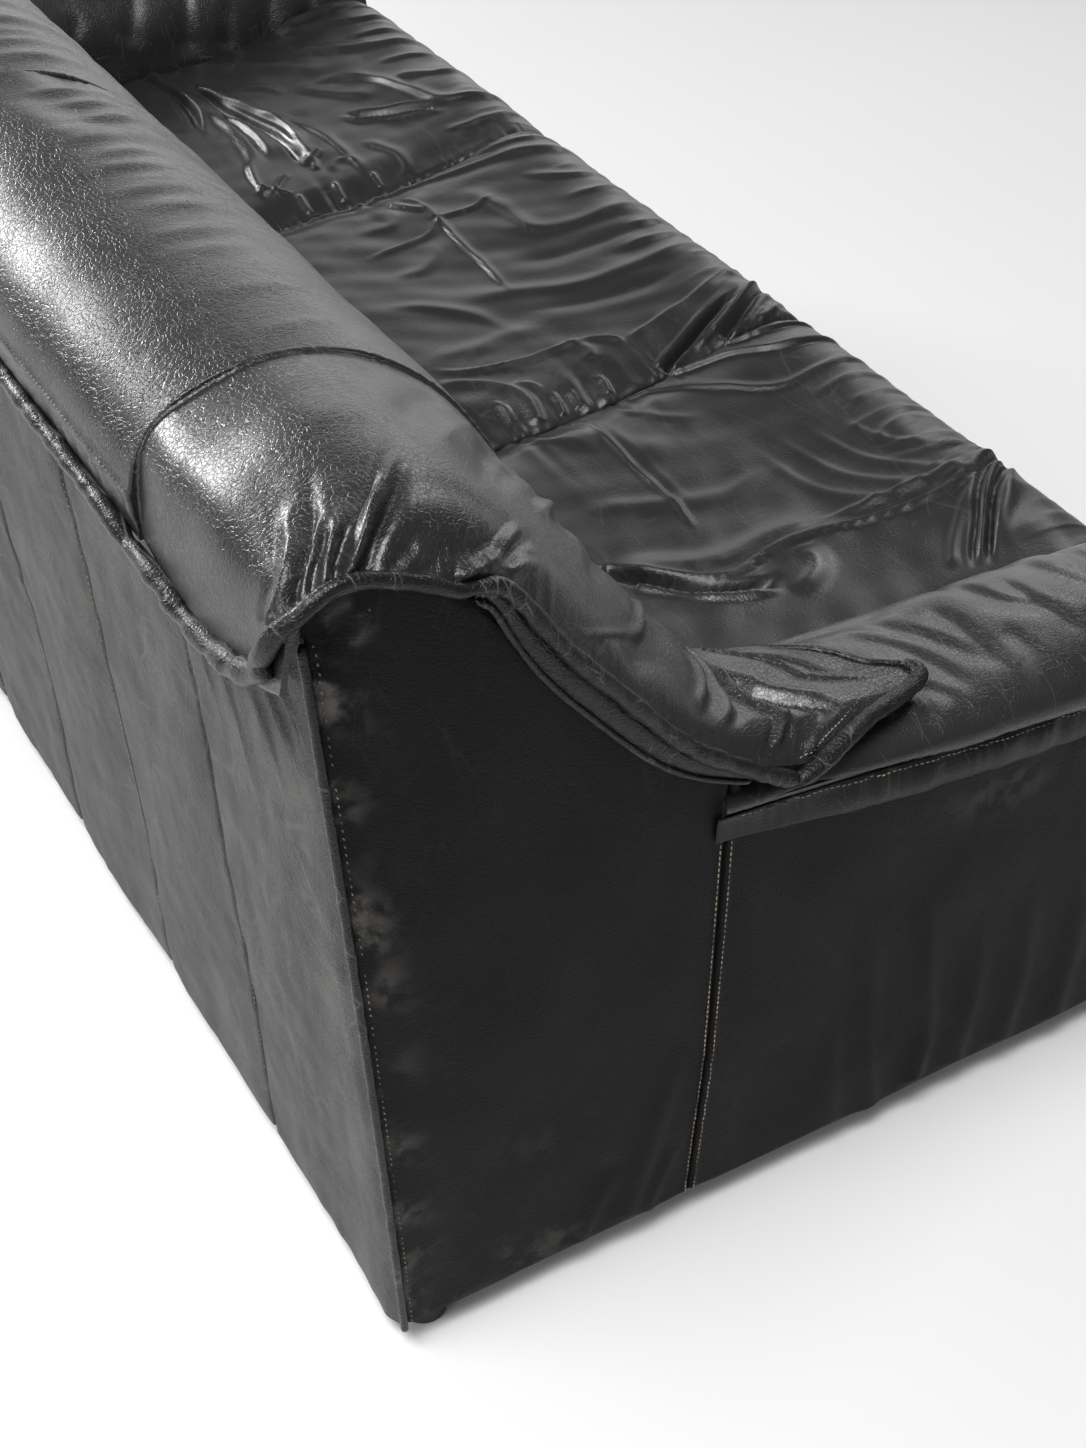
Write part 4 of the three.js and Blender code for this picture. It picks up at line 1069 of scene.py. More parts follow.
end_shine = [(0.086, 0.561, 0.4, 0.011), (0.069, 0.564, 0.7, 0.011), (0.049, 0.572, 0.7, 0.011),
             (0.032, 0.586, 0.5, 0.011), (0.012, 0.085, 0.6, 0.014), (0.012, 0.115, 0.7, 0.014),
             (0.010, 0.150, 0.6, 0.014), (0.010, 0.190, 0.5, 0.012)]
for side, end in ((-1, "left"), (1, "right")):
    u, k = np.meshgrid(end_u, end_k)
    top = np.zeros((*u.shape, 3))
    top[..., 0] = side * (ROLL_SEAM_OUTER + SEAM_GAP + end_width * (1 - u))
    top[..., 1:] = end_grid
    normal = outward(top) * (-side)
    from_seam = (1 - u) * end_width
    seam_part = 1 - ease(k, 7.0, 9.0)
    lift = -sewn_in(from_seam, 0.0020, 0.0024, 0.0, 0.08) * seam_part
    a, b = u * END_ACROSS, k * END_STATION
    lift += 0.0010 * drift(a, b, 0.07, 51)
    lift += worked(a, b, shoulder_folds)
    lift += puckers(b, a, 0.013, 0.016, 0.0009, 52) * (1 - ease(k, FLAP_START, 10))
    lift += puckers(b, from_seam, 0.009, 0.005, 0.0006, 53) * seam_part
    pin = ease(a, 0, 0.006) * ease(k, 0, 0.35) * ease(12 - k, 0, 0.25)
    top = top + normal * (lift * np.maximum(pin, 0))[..., None]
    bottom = np.zeros((len(under_k), len(end_u), 3))
    bottom[..., 0] = side * (ROLL_SEAM_OUTER + SEAM_GAP + end_width * (1 - end_u))[None]
    bottom[..., 1:] = under_grid
    loop = np.concatenate([top, bottom[::-1], top[:1]])
    shine = np.zeros(loop.shape[:2])
    shine[:len(end_k)] = polished(a, b, end_shine)
    piece = skin(f"back_end_{end}_leather", loop, roll_leather, tube=True, capped=True,
                 shine=np.clip(shine, 0, 1))
    belongs(piece, f"back_end_{end}")

# ---------------------------------------------------------------------------
# Arm pads: a fat leather cap over each arm, rolled down inside to the seat and
# gathered to a sewn line outside, above a plain turned-up hem.
# ---------------------------------------------------------------------------
ARM_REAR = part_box("arm_pad_left")[1].y
FRONT_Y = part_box("end_cover_left")[0].y
ARM_FALL = 0.065
HEM_REAR_Z = 0.450


def hem_line(y):
    """Height of the arm pad's sewn lower edge, falling towards the front and lifted at its rear."""
    return HEM_REAR_Z - ARM_FALL * (ARM_REAR - y) + 0.010 * ease(y, -0.15, 0.12)


arm_outside = [(0.996, 0.000), (1.004, 0.004), (1.009, 0.011), (1.007, 0.021), (0.997, 0.030), (0.978, 0.038),
               (0.950, 0.043), (0.915, 0.045), (0.885, 0.043), (0.862, 0.036), (0.840, 0.019), (0.822, 0.000),
               (0.803, -0.024), (0.792, -0.052), (0.787, -0.090)]
arm_inside = [(0.787, -0.090), (0.786, -0.225), (0.850, -0.225), (0.850, -0.002), (0.996, -0.002),
              (0.996, 0.0)]
arm_rows = np.vstack([through(arm_outside, 0.0036),
                      *[np.linspace(p, q, 6)[1:] for p, q in zip(arm_inside, arm_inside[1:])]])
arm_q = run_along(arm_rows)
arm_soft = ease(arm_q, 0, 0.01) * (1 - ease(arm_q, 0.36, 0.42))
arm_lines = [
    (0.0095, 0.0032, 0.4, 0.10, 0.40, (-0.166, 0.215), (-0.166, 0.187), (-0.170, 0.165), (-0.176, 0.144),
     (-0.184, 0.129), (-0.200, 0.112), (-0.215, 0.095)),
    (0.0081, 0.0025, 0.4, 0.20, 0.30, (-0.196, 0.165), (-0.200, 0.144), (-0.202, 0.122), (-0.207, 0.100),
     (-0.211, 0.080), (-0.216, 0.060)),
    (0.0115, 0.0032, 0.4, 0.20, 0.40, (-0.075, 0.190), (-0.085, 0.160), (-0.101, 0.133), (-0.113, 0.111),
     (-0.124, 0.088), (-0.132, 0.070)),
    (0.0108, 0.0031, 0.4, 0.20, 0.40, (-0.045, 0.175), (-0.060, 0.151), (-0.078, 0.126), (-0.089, 0.104),
     (-0.095, 0.079), (-0.102, 0.050)),
    (0.0095, 0.0027, 0.4, 0.20, 0.40, (-0.125, 0.165), (-0.132, 0.140), (-0.134, 0.111), (-0.137, 0.085),
     (-0.141, 0.055), (-0.146, 0.035)),
    (0.0068, 0.0023, 0.3, 0.10, 0.40, (-0.040, 0.095), (-0.052, 0.086), (-0.056, 0.066), (-0.050, 0.046),
     (-0.046, 0.030)),
    (0.0068, 0.0021, 0.3, 0.20, 0.40, (-0.062, 0.090), (-0.073, 0.075), (-0.080, 0.062), (-0.084, 0.045),
     (-0.090, 0.025)),
    (0.0081, -0.0030, 0.0, 0.20, 0.30, (-0.030, 0.090), (-0.042, 0.083), (-0.047, 0.070), (-0.043, 0.055)),
    (0.0061, 0.0030, 0.5, 0.10, 0.30, (0.030, 0.215), (0.010, 0.190), (-0.012, 0.162), (-0.033, 0.135),
     (-0.045, 0.115)),
    (0.0054, -0.0024, 0.0, 0.10, 0.30, (0.022, 0.220), (0.002, 0.192), (-0.018, 0.168), (-0.038, 0.143)),
    (0.0135, 0.0036, 0.3, 0.20, 0.30, (0.000, 0.235), (-0.020, 0.205), (-0.045, 0.190), (-0.080, 0.185),
     (-0.120, 0.195)),
    (0.0135, 0.0031, 0.3, 0.20, 0.40, (-0.230, 0.215), (-0.232, 0.180), (-0.240, 0.145), (-0.252, 0.110),
     (-0.268, 0.080)),
    (0.0108, 0.0027, 0.3, 0.20, 0.40, (-0.275, 0.200), (-0.280, 0.165), (-0.288, 0.130), (-0.300, 0.095)),
    (0.0135, 0.0029, 0.3, 0.20, 0.40, (-0.325, 0.215), (-0.330, 0.180), (-0.336, 0.140), (-0.345, 0.100)),
    (0.0108, 0.0025, 0.3, 0.20, 0.40, (-0.375, 0.210), (-0.380, 0.170), (-0.384, 0.130), (-0.390, 0.095)),
    (0.0081, 0.0016, 0.3, 0.20, 0.40, (-0.160, 0.110), (-0.163, 0.085), (-0.168, 0.060), (-0.175, 0.035)),
    (0.0081, 0.0016, 0.3, 0.20, 0.40, (-0.232, 0.095), (-0.238, 0.070), (-0.243, 0.040)),
    (0.0061, 0.0014, 0.3, 0.20, 0.40, (0.060, 0.010), (0.055, 0.030), (0.040, 0.050)),
    (0.0135, 0.0045, 0.0, 0.20, 0.40, (-0.100, 0.310), (-0.110, 0.280), (-0.120, 0.250), (-0.125, 0.225)),
    (0.0135, 0.0054, 0.2, 0.20, 0.40, (-0.180, 0.330), (-0.185, 0.290), (-0.195, 0.250), (-0.205, 0.225)),
    (0.0121, 0.0045, 0.2, 0.20, 0.40, (-0.235, 0.330), (-0.245, 0.290), (-0.250, 0.255)),
    (0.0149, 0.0054, 0.2, 0.20, 0.40, (-0.300, 0.330), (-0.305, 0.290), (-0.315, 0.245)),
    (0.0121, 0.0045, 0.2, 0.20, 0.40, (-0.360, 0.330), (-0.365, 0.290), (-0.375, 0.245)),
    (0.0108, 0.0045, 0.2, 0.20, 0.40, (-0.020, 0.330), (-0.030, 0.290), (-0.045, 0.255)),
]
for side, end in ((-1, "left"), (1, "right")):
    ys = np.linspace(ARM_REAR, FRONT_Y - 0.006, 160)
    y, q = np.meshgrid(ys, arm_q)
    points = np.zeros((*y.shape, 3))
    points[..., 0] = side * arm_rows[:, 0][:, None]
    points[..., 1] = y
    fuller = ease(0.05 - y, 0, 0.30)
    crown = np.where(arm_rows[:, 1][:, None] > 0, 0.62 + 0.60 * fuller, 1.0)
    points[..., 2] = arm_rows[:, 1][:, None] * crown + hem_line(y)
    points[..., 0] += side * 0.012 * (fuller - 0.7) * np.exp(-((q - 0.02) / 0.03) ** 2)
    normal = outward(points) * side
    lift = 0.0012 * drift(y, q, 0.06, 61)
    lift += worked(y, q, arm_lines)
    lift += puckers(y, q, 0.014, 0.012, 0.0012, 62)
    points += normal * (lift * arm_soft[:, None])[..., None]
    front = ease(FRONT_Y + 0.020 - y, 0, 0.026)
    points[..., 2] -= 0.010 * front * (arm_rows[:, 1][:, None] > 0)
    rub = 0.9 * spot(y, q, (-0.150, 0.075), (0.008, 0.016)) + 0.5 * spot(y, q, (-0.036, 0.148), (0.02, 0.012))
    piece = skin(f"arm_pad_{end}_leather", points, arm_leather, tube=True, capped=True, rub=rub)
    belongs(piece, f"arm_pad_{end}")

# ---------------------------------------------------------------------------
# Rear cover: eight strips of stiff, dry leather sewn edge to edge and stapled
# under the frame; the seams sink, with painted shade along them, and the leather drags down from the corners.
# ---------------------------------------------------------------------------
REAR_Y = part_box("rear_cover")[1].y
COVER_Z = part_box("end_cover_left")[0].z
CORNER_LEAN = 0.027


def corner_lean(z):
    """How far the corner seam leans in at a height."""
    return CORNER_LEAN * np.clip(z / 0.69, 0, 1.1) ** 2


def seam_wander(z):
    """How far a strip seam strays sideways at a height."""
    return 0.005 * np.sin(z * 9 + 1.0) + 0.002 * np.sin(z * 23)


strip_seams = np.array([-0.741, -0.494, -0.247, 0.0, 0.247, 0.494, 0.741])
corner_xs = np.linspace(0.76, END_X - 0.0026, 110)
xs = np.unique(np.concatenate([-corner_xs, np.linspace(-0.755, 0.755, 110), corner_xs,
                               *[seam + np.linspace(-0.011, 0.011, 25) for seam in strip_seams]]))
share = 1 - (1 - np.linspace(0, 1, 90)) ** 1.5
x, v = np.meshgrid(xs, share)
z = COVER_Z + (0.662 + 0.034 * ease(np.abs(x), 0.925, 0.99) - COVER_Z) * v
wander = seam_wander(z)
gap = np.min(np.abs(x[..., None] - wander[..., None] - strip_seams), axis=2)
lift = 0.0014 + 0.0030 * (1 - np.exp(-gap / 0.030)) - 0.0034 * np.exp(-(gap / 0.0028) ** 2)
lift += 0.0016 * drift(x, z * 0.5, 0.10, 71) + 0.0005 * drift(x, z, 0.022, 72)
rear_lines = [
    (0.0030, 0.0028, 0.3, 0.10, 0.45, (0.921, 0.660), (0.938, 0.654), (0.953, 0.641), (0.975, 0.616)),
    (0.0032, 0.0028, 0.3, 0.10, 0.45, (0.888, 0.645), (0.912, 0.630), (0.931, 0.617), (0.948, 0.597),
     (0.962, 0.570)),
    (0.0030, 0.0026, 0.3, 0.10, 0.45, (0.944, 0.682), (0.961, 0.672), (0.979, 0.660), (0.986, 0.647)),
    (0.0034, 0.0026, 0.3, 0.10, 0.45, (0.858, 0.632), (0.884, 0.611), (0.902, 0.593), (0.911, 0.571),
     (0.920, 0.530)),
    (0.0036, 0.0024, 0.3, 0.10, 0.45, (0.796, 0.612), (0.820, 0.590), (0.833, 0.568), (0.849, 0.528),
     (0.860, 0.480)),
    (0.0026, -0.0018, 0.0, 0.10, 0.45, (0.929, 0.652), (0.946, 0.643), (0.960, 0.628), (0.975, 0.600)),
    (0.0026, -0.0018, 0.0, 0.10, 0.45, (0.896, 0.632), (0.918, 0.619), (0.936, 0.603), (0.952, 0.578)),
    (0.0026, -0.0016, 0.0, 0.10, 0.45, (0.868, 0.613), (0.890, 0.596), (0.904, 0.578), (0.914, 0.548)),
    (0.0030, 0.0018, 0.3, 0.20, 0.50, (0.770, 0.640), (0.778, 0.600), (0.790, 0.555), (0.800, 0.500)),
]
for side in (-1, 1):
    lift += worked(side * x, z, rear_lines)
lift = np.maximum(lift, -0.0012) * ease(END_X - np.abs(x), 0.002, 0.026)
points = np.stack([x * (1 - corner_lean(z) / END_X * ease(np.abs(x), 0.5, END_X)), REAR_Y - 0.0002 + lift, z],
                  2)
rub = 0.5 * spot(x, z, (-0.62, 0.55), (0.05, 0.03)) + 0.25 * spot(x, z, (-0.44, 0.57), (0.05, 0.03))
rub += 0.8 * ease(drift(x, 0.35 * z, 0.028, 74), 0.2, 1.3) + 0.5 * np.exp(-((END_X - np.abs(x)) / 0.014) ** 2)
rub = np.clip(rub, 0, 1)


def two_sided(name, face, thickness, material, **marks):
    """A cut panel of leather with a matching back: thickness is a vector from its face to its back."""
    piece = skin(name, face, material, **marks)
    bm = bmesh.new()
    bm.from_mesh(piece.data)
    front = list(bm.faces)
    rim = [edge for edge in bm.edges if edge.is_boundary]
    copied = bmesh.ops.duplicate(bm, geom=front)["geom"]
    made = bmesh.ops.extrude_edge_only(bm, edges=rim)["geom"]
    moved = [v for v in copied + made if isinstance(v, bmesh.types.BMVert)]
    bmesh.ops.translate(bm, verts=moved, vec=thickness)
    bmesh.ops.remove_doubles(bm, verts=bm.verts, dist=1e-6)
    bmesh.ops.recalc_face_normals(bm, faces=bm.faces)
    for panel_face in bm.faces:
        panel_face.smooth = True
    bm.to_mesh(piece.data)
    bm.free()
    return piece


# Painted shade: the seam mask paints the strip seams near-black.
piece = two_sided("rear_cover_leather", points, (0, -0.0016, 0), rear_leather, rub=rub,
                  sunk=np.exp(-(gap / 0.0016) ** 4))
belongs(piece, "rear_cover")

# ---------------------------------------------------------------------------
# End covers: two panels joined by a double-stitched upright seam, pulled over the
# end board, drawn in under the shoulder and turned under at the floor.
# ---------------------------------------------------------------------------
shoulder = [(0.452, 0.704), (0.437, 0.716), (0.425, 0.722), (0.413, 0.730), (0.395, 0.737), (0.366, 0.733),
            (0.336, 0.714), (0.311, 0.691), (0.284, 0.650),
            (0.243, 0.592), (0.185, 0.529), (0.131, 0.490), (0.115, 0.449)]
shoulder_line = through(shoulder, 0.003)
MID_SEAM_Y = 0.1335
cover_gathers = [
    (0.0030, 0.0030, 0.3, 0.10, 0.40, (0.440, 0.706), (0.425, 0.702), (0.412, 0.694), (0.398, 0.687)),
    (0.0030, 0.0028, 0.3, 0.10, 0.40, (0.440, 0.697), (0.428, 0.693), (0.413, 0.684), (0.397, 0.678)),
    (0.0030, 0.0028, 0.3, 0.10, 0.40, (0.436, 0.713), (0.418, 0.709), (0.405, 0.709), (0.390, 0.707)),
    (0.0030, 0.0024, 0.3, 0.10, 0.40, (0.440, 0.686), (0.428, 0.681), (0.413, 0.670), (0.400, 0.655)),
    (0.0034, 0.0024, 0.3, 0.10, 0.40, (0.442, 0.670), (0.430, 0.662), (0.417, 0.645), (0.408, 0.620)),
    (0.0034, 0.0020, 0.3, 0.10, 0.40, (0.442, 0.648), (0.432, 0.636), (0.424, 0.612), (0.418, 0.580)),
    (0.0024, -0.0016, 0.0, 0.10, 0.40, (0.436, 0.700), (0.420, 0.690), (0.404, 0.682)),
    (0.0024, -0.0016, 0.0, 0.10, 0.40, (0.438, 0.689), (0.420, 0.677), (0.404, 0.666)),
]
for side, end in ((-1, "left"), (1, "right")):
    ys = np.unique(np.concatenate([np.linspace(REAR_Y, FRONT_Y, 200), MID_SEAM_Y
                                   + np.linspace(-0.012, 0.016, 22)]))[::-1]
    order = np.argsort(shoulder_line[:, 0])
    top_z = np.interp(ys, shoulder_line[order, 0], shoulder_line[order, 1], left=0)
    top_z = np.where(ys < 0.115, hem_line(ys) - 0.001, top_z)
    share = np.linspace(0, 1, 150)
    y, v = np.meshgrid(ys, share)
    z = COVER_Z + (top_z[None] - COVER_Z) * v
    seam_y = MID_SEAM_Y + 0.010 * (1 - ease(z, 0.02, 0.25))
    off = y - seam_y
    lift = 0.0020 * (1 - np.exp(-np.abs(off) / 0.02)) - 0.0022 * np.exp(-(off
            / 0.0022) ** 2) + 0.0012 * np.exp(-((np.abs(off) - 0.0045) / 0.0025) ** 2)
    lift += 0.0012 * drift(y, z, 0.10, 81) * (1 - np.exp(-np.abs(off) / 0.03))
    for line, width, height in (
        ([(-0.020, 0.30), (-0.032, 0.18), (-0.050, 0.05), (-0.055, 0.02)], 0.012, 0.0040),
        ([(-0.070, 0.30), (-0.092, 0.20), (-0.108, 0.10), (-0.100, 0.03)], 0.011, 0.0055),
        ([(-0.14, 0.24), (-0.155, 0.14), (-0.150, 0.03)], 0.013, 0.0045),
        ([(-0.19, 0.26), (-0.21, 0.14), (-0.205, 0.03)], 0.014, 0.0045),
        ([(-0.25, 0.24), (-0.27, 0.14), (-0.27, 0.03)], 0.014, 0.0045),
        ([(-0.32, 0.22), (-0.34, 0.12), (-0.34, 0.03)], 0.016, 0.004),
        ([(0.005, 0.20), (0.000, 0.10), (-0.010, 0.03)], 0.010, 0.0025),
        ([(0.150, 0.25), (0.175, 0.17), (0.195, 0.09), (0.21, 0.03)], 0.012, 0.0030),
        ([(0.155, 0.12), (0.175, 0.07), (0.19, 0.03)], 0.008, 0.0025),
        ([(0.21, 0.13), (0.24, 0.07), (0.26, 0.03)], 0.010, 0.0025),
    ):
        lift += ridge(y, z, line, width, height, 0.2, (0.45, 0.05))
    lift += worked(y, z, cover_gathers)
    rounded = 0.006 * (1 - ease(z - COVER_Z, 0, 0.010))
    rear_round = 0.002 * (1 - ease(REAR_Y - y, 0, 0.006))
    lift = lift * ease(z - COVER_Z, 0, 0.01) * ease(top_z[None] - z, 0, 0.012)
    pull_in = corner_lean(z) * np.exp(-((REAR_Y - y) / 0.050) ** 2)
    points = np.stack([side * (END_X - 0.002 - pull_in - rounded - rear_round + lift), y, z], 2)
    rub = 0.9 * np.exp(-((REAR_Y - y) / 0.024) ** 2) * ease(drift(y, z, 0.030, 82), -0.8, 1.0)
    rub += 0.5 * spot(y, z, (0.413, 0.658),
                      (0.008, 0.022)) + 0.5 * np.exp(-((np.hypot(y - 0.400, z - 0.700) - 0.012) / 0.003) ** 2)
    rub += 0.35 * spot(y, z, (-0.14, 0.37), (0.05, 0.022))
    rub += 0.30 * ease(drift(y, z, 0.06, 83), 0.3, 1.3) * ease(y, 0.16, 0.30) * (1 - ease(z, 0.12, 0.24))
    rub += 0.6 * (1 - ease(z - COVER_Z, 0, 0.03)) * ease(y, 0.30, 0.42)
    # Painted shade: the seam mask paints the upright mid seam near-black.
    piece = two_sided(f"end_cover_{end}_leather", points, (-side * 0.0022, 0, 0), side_leather,
                      rub=np.clip(rub, 0, 1), sunk=np.exp(-(off / 0.0014) ** 4))
    belongs(piece, f"end_cover_{end}")

# ---------------------------------------------------------------------------
# Front border, arm fronts and dust cover: plain leather over the front rail and
# arm posts, the border's top edge folded in, and black lining cloth underneath.
# ---------------------------------------------------------------------------
EDGE_TURN = 0.012
low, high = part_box("front_cover")
top_edge = high.z - 0.0002
x, z = np.meshgrid(np.linspace(low.x, high.x, 300),
                   np.concatenate([np.linspace(low.z, top_edge, 30), np.full(5, top_edge)]))
fold = np.concatenate([np.zeros(30), np.linspace(0.0024, EDGE_TURN, 5)])[:, None]
lift = 0.0022 * drift(x, z, 0.08, 91) * ease(z - low.z, 0, 0.01) * ease(top_edge - z, 0, 0.01)
points = np.stack([x, low.y + 0.001 - lift + fold, z], 2)
piece = two_sided("front_cover_leather", points, (0, 0.0016, -0.0016), side_leather)
belongs(piece, "front_cover")
for end in ("left", "right"):
    low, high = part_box(f"arm_front_{end}")
    x, z = np.meshgrid(np.linspace(low.x, high.x, 50), np.linspace(low.z, high.z + EDGE_TURN, 120))
    lift = 0.0020 * drift(x, z, 0.07, 92) * ease(z - low.z, 0, 0.01) * ease(high.z - z, 0, 0.01)
    points = np.stack([x, low.y + 0.001 - lift, z], 2)
    piece = two_sided(f"arm_front_{end}_leather", points, (0, 0.0022, 0), side_leather)
    belongs(piece, f"arm_front_{end}")

low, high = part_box("dust_cover")
x, y = np.meshgrid(np.linspace(low.x, high.x, 90), np.linspace(low.y, high.y, 45))
inside = ease(np.minimum(x - low.x, high.x - x), 0, 0.05) * ease(np.minimum(y - low.y, high.y - y), 0, 0.05)
points = np.stack([x, y, high.z - 0.0004 - inside * (0.0025 + 0.001 * drift(x, y, 0.2, 93))], 2)
lining, tree, shader = new_material("black_lining", roughness=0.95)
fibre = noise_node(tree, own_place(tree), 600.0, 3.0).outputs["Fac"]
tree.links.new(two_tones(tree, fibre, (0.004, 0.004, 0.004), (0.016, 0.016, 0.016)),
               shader.inputs["Base Color"])
relief(tree, shader, fibre, 0.0004)
piece = two_sided("dust_cover_cloth", points, (0, 0, 0.0004), lining)
belongs(piece, "dust_cover")


# ---------------------------------------------------------------------------
# Hems: a folded strip of leather under each arm pad, topstitched along its upper
# edge and standing off the end cover a little towards the front.
# ---------------------------------------------------------------------------
for side, end in ((-1, "left"), (1, "right")):
    ys = np.linspace(ARM_REAR + 0.005, FRONT_Y - 0.004, 180)
    share = np.linspace(0, 1, 16)
    y, v = np.meshgrid(ys, share)
    top = hem_line(y) + 0.001
    tall = 0.024 + 0.007 * ease(0.12 - y, 0, 0.15) + 0.001 * np.sin(y * 31)
    z = top - tall * v
    lift = 0.0022 + 0.006 * np.sin(np.pi * np.clip(v * 0.8, 0, 1)) * ease(0.10 - y, 0, 0.10)
    lift += puckers(y, v * 0.03, 0.017, 0.02, 0.0012, 95) * ease(v, 0, 0.2)
    lift += 0.0016 * drift(y, z, 0.03, 96) * ease(v, 0, 0.3)
    points = np.stack([side * (END_X + 0.0012 + lift), y, z], 2)
    piece = two_sided(f"arm_hem_{end}_leather", points, (-side * 0.0016, 0, 0), hem_leather)
    belongs(piece, f"arm_hem_{end}")


# ---------------------------------------------------------------------------
# Welts: thin padded piping along the rear and round each shoulder, a stitched
# facing strip that hangs below the shoulder welt, and a fat welt round the flap.
# ---------------------------------------------------------------------------
def welt_tube(name, line, radius, seed, wrinkle=0.06, flat=1.0, up=(0.0, 0.0, 1.0), step=0.0035, taper=0.004,
              sides=18):
    """Piping along a line; radius is one value or one per point, flat its height against its width."""
    given = np.column_stack([line, np.broadcast_to(radius, len(line))])
    curve = through(given, step)
    curve, size = curve[:, :3], curve[:, 3]
    run = run_along(curve)
    tangent = np.gradient(curve, axis=0)
    tangent /= np.linalg.norm(tangent, axis=1, keepdims=True)
    across = np.cross(tangent, np.array(up))
    across /= np.maximum(np.linalg.norm(across, axis=1, keepdims=True), 1e-6)
    rise = np.cross(across, tangent)
    s, a = np.meshgrid(run, np.linspace(0, 2 * np.pi, sides + 1), indexing="ij")
    round_ = drift(s, 0.004 * np.cos(a), 0.016, seed) + 0.6 * drift(s + 0.006 * np.sin(a), 0.002 * np.sin(a),
            0.006, seed + 1)
    ends = np.sqrt(np.clip(np.minimum(s, run[-1] - s) / taper, 0.02, 1))
    r = size[:, None] * (1 + wrinkle * round_) * ends
    points = curve[:, None] + across[:, None] * (r * np.cos(a))[..., None] + rise[:,
            None] * (r * np.sin(a) * flat)[..., None]
    return skin(name, points.transpose(1, 0, 2), welt_leather, tube=True, capped=True)


thread, tree, shader = new_material("tan_thread", roughness=0.8)
dirt = noise_node(tree, own_place(tree), 40.0, 3.0).outputs["Fac"]
tree.links.new(two_tones(tree, dirt, (0.06, 0.045, 0.035), (0.34, 0.27, 0.19), 0.35, 0.62),
               shader.inputs["Base Color"])


def stitches(name, piece, line, spacing, length, radius=0.0005, slant=0.0, missing=0.0, seed=1):
    """A row of thread stitches laid on a piece along a line; slant turns each, missing leaves some out."""
    rng = np.random.default_rng(seed)
    ground = bmesh.new()
    ground.from_mesh(piece.data)
    tree = BVHTree.FromBMesh(ground)
    ground.free()
    curve = through(line, spacing)
    bm = bmesh.new()
    for start, finish in zip(curve[:-1], curve[1:]):
        if rng.random() < missing:
            continue
        middle, normal, _, _ = tree.find_nearest(Vector((start + finish) / 2))
        along = Vector(finish - start).normalized()
        along = (along - normal * along.dot(normal)).normalized()
        across = normal.cross(along)
        turn = slant + rng.uniform(-0.12, 0.12)
        along, across = (along * math.cos(turn) + across * math.sin(turn),
                         across * math.cos(turn) - along * math.sin(turn))
        frame_ = Matrix.Identity(4)
        for row in range(3):
            frame_[row][0] = along[row] * length / 2
            frame_[row][1] = across[row] * radius
            frame_[row][2] = normal[row] * radius
            frame_[row][3] = middle[row] + normal[row] * radius * 0.3
        bmesh.ops.create_uvsphere(bm, u_segments=6, v_segments=4, radius=1.0,
                                  matrix=frame_ @ Matrix.Rotation(math.pi / 2, 4, "Y"))
    for face in bm.faces:
        face.smooth = True
    mesh = bpy.data.meshes.new(name)
    bm.to_mesh(mesh)
    bm.free()
    mesh.materials.append(thread)
    row = bpy.data.objects.new(name, mesh)
    scene.collection.objects.link(row)
    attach(row, "root")


half_line = [(0.0, 0.456, 0.658), (0.25, 0.456, 0.658), (0.50, 0.456, 0.658), (0.67, 0.456, 0.658),
             (0.73, 0.456, 0.656), (0.765, 0.456, 0.653), (0.81, 0.4565, 0.657), (0.85, 0.457, 0.655),
             (0.88, 0.457, 0.658), (0.915, 0.457, 0.664), (0.95, 0.457, 0.676), (0.975, 0.457, 0.690),
             (0.990, 0.456, 0.703)]
half_size = [0.0066, 0.0066, 0.0066, 0.0068, 0.0072, 0.0060, 0.0078, 0.0072, 0.0076, 0.0082, 0.0080, 0.0072,
             0.0060]
rear_line = [(-p, q, r) for p, q, r in half_line[:0:-1]] + half_line
piece = welt_tube("rear_welt_leather", rear_line, half_size[:0:-1] + half_size, 101, 0.09)
belongs(piece, "rear_welt")
roll_edges = [-ROLL_SEAM_OUTER, -ROLL_SEAM_INNER, ROLL_SEAM_INNER, ROLL_SEAM_OUTER]
for end, start, finish in zip(("left", "middle", "right"), roll_edges, roll_edges[1:]):
    lip = [(x, 0.452, 0.6895) for x in (start + 0.004, (start + finish) / 2, finish - 0.004)]
    stitches(f"rear_lip_stitches_{end}", bpy.data.objects[f"back_section_{end}_leather"], lip,
             0.0055, 0.0036, 0.0005, 0.5)

shoulder_welt = [(0.975, 0.456, 0.697), (0.990, 0.457, 0.712), (0.999, 0.4525, 0.728), (1.003, 0.440, 0.737),
                 (1.0035, 0.424, 0.7455), (1.0035, 0.4075, 0.749), (1.0035, 0.3845, 0.7425),
                 (1.0035, 0.359, 0.731), (1.0035, 0.341, 0.7205), (1.0035, 0.328, 0.7190),
                 (1.0035, 0.3155, 0.7155), (1.0035, 0.302, 0.701), (1.0035, 0.284, 0.673),
                 (1.0035, 0.262, 0.643), (1.0035, 0.234, 0.610), (1.0035, 0.2125, 0.584),
                 (1.0035, 0.188, 0.555), (1.0035, 0.163, 0.531), (1.0035, 0.131, 0.508),
                 (1.005, 0.105, 0.490), (1.007, 0.085, 0.480)]
shoulder_size = [0.0062, 0.0066, 0.0060, 0.0052, 0.0050, 0.0048, 0.0048, 0.0050, 0.0050, 0.0044, 0.0050,
                 0.0054, 0.0060, 0.0062, 0.0062, 0.0062, 0.0062, 0.0062, 0.0064, 0.0066, 0.0060]
flap_size = [0.0062, 0.0078, 0.0082, 0.0080, 0.0078, 0.0074, 0.0070, 0.0060, 0.0046]
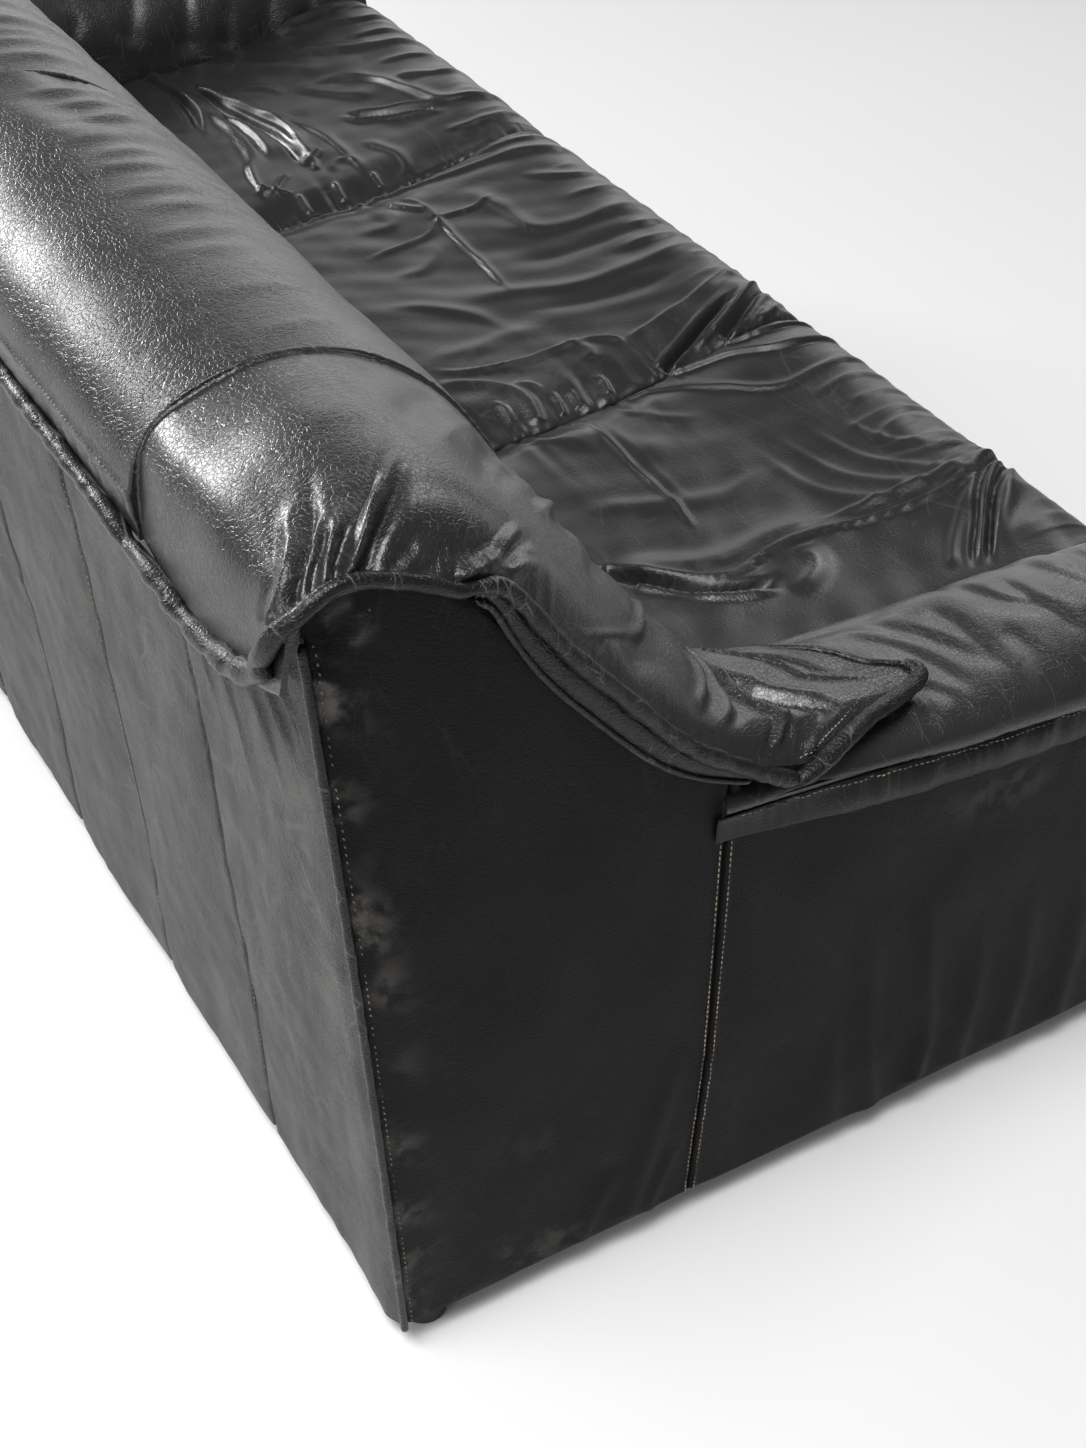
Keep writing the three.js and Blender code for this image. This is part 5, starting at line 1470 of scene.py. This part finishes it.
for side, end in ((-1, "left"), (1, "right")):
    def mirrored(line):
        """The line at this end of the sofa."""
        return [(side * p, q, r) for p, q, r in line]

    piece = welt_tube(f"end_welt_{end}_leather", mirrored(shoulder_welt), shoulder_size, 102, 0.07)
    belongs(piece, f"end_welt_{end}")
    piece = welt_tube(f"flap_welt_{end}", mirrored(flap_edge), flap_size, 103, 0.06, flat=0.75)
    belongs(piece)
    piece = welt_tube(f"flap_edge_{end}", mirrored(far_edge), 0.0028, 104, 0.05, taper=0.003, sides=12)
    belongs(piece)
    core = through([(q, r) for p, q, r in shoulder_welt[9:20]], 0.004)
    way = np.gradient(core, axis=0)
    way /= np.linalg.norm(way, axis=1, keepdims=True)
    below = np.stack([-way[:, 1], way[:, 0]], 1)
    taper = np.sin(np.pi * np.clip(np.linspace(0.06, 0.97, len(core)), 0, 1)) ** 0.5
    edge = core + below * (0.0235 * taper)[:, None]
    grid = np.stack([np.column_stack([np.full(len(core), side * (0.9990 + 0.0025 * math.sin(math.pi * w))),
                                      core + below * ((0.003 + 0.0200 * w) * taper)[:, None]])
                     for w in np.linspace(0, 1, 9)])
    piece = two_sided(f"shoulder_facing_{end}", grid, (-side * 0.0016, 0, 0), welt_leather)
    belongs(piece)
    piece = welt_tube(f"facing_edge_{end}", [(side * 1.0000, q, r) for q, r in edge[::6]], 0.0024, 106, 0.06,
                      sides=10)
    belongs(piece)
    stitches(f"flap_stitches_{end}", bpy.data.objects[f"back_end_{end}_leather"],
             mirrored([(0.998, 0.078, 0.49), (0.995, 0.064, 0.49), (0.981, 0.036, 0.49), (0.969, 0.010, 0.49),
                       (0.962, -0.014, 0.49), (0.958, -0.034, 0.49), (0.950, -0.043, 0.49)]),
             0.0042, 0.0032, 0.00045)
    stitches(f"hem_stitches_{end}", bpy.data.objects[f"arm_hem_{end}_leather"],
             [(side * (END_X + 0.008), y, hem_line(y) - 0.0014) for y in np.linspace(0.126, -0.43, 20)],
             0.0052, 0.0038, 0.0006)
    cover = bpy.data.objects[f"end_cover_{end}_leather"]
    for row, offset in (("rear", 0.0048), ("front", -0.0042)):
        stitches(f"side_seam_stitches_{row}_{end}", cover,
                 mirrored([(1.0, MID_SEAM_Y + 0.010 + offset, 0.026),
                           (1.0, MID_SEAM_Y + 0.006 + offset, 0.09),
                 (1.0, MID_SEAM_Y + 0.001 + offset, 0.20), (1.0, MID_SEAM_Y + offset, 0.30),
                (1.0, MID_SEAM_Y + offset, 0.440)]), 0.0056, 0.0040, 0.0006, seed=7)
    corner = [(END_X + 0.0005 - corner_lean(z), REAR_Y + 0.0015, z)
              for z in np.linspace(COVER_Z + 0.002, 0.694, 16)]
    piece = welt_tube(f"corner_welt_{end}", mirrored(corner), 0.0034, 107, 0.05, sides=12)
    belongs(piece)
    stitches(f"corner_stitches_side_{end}", cover,
             [(side * (p + 0.001), q - 0.0075, r) for p, q, r in corner], 0.0064, 0.0026, 0.0006, 0.3, 0.12,
             8)
    stitches(f"corner_stitches_rear_{end}", bpy.data.objects["rear_cover_leather"],
             [(side * (p - 0.0075), q, r) for p, q, r in corner[:-1]], 0.0064, 0.0026, 0.0006, 0.3, 0.25, 9)

for index, seam in enumerate(strip_seams):
    line = [(seam + 0.0035 + seam_wander(z), REAR_Y, z) for z in np.linspace(0.03, 0.645, 22)]
    stitches(f"rear_strip_stitches_{index + 1}", bpy.data.objects["rear_cover_leather"], line, 0.0062, 0.0024,
             0.0005, 0.4, 0.35, 20 + index)

low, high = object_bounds()
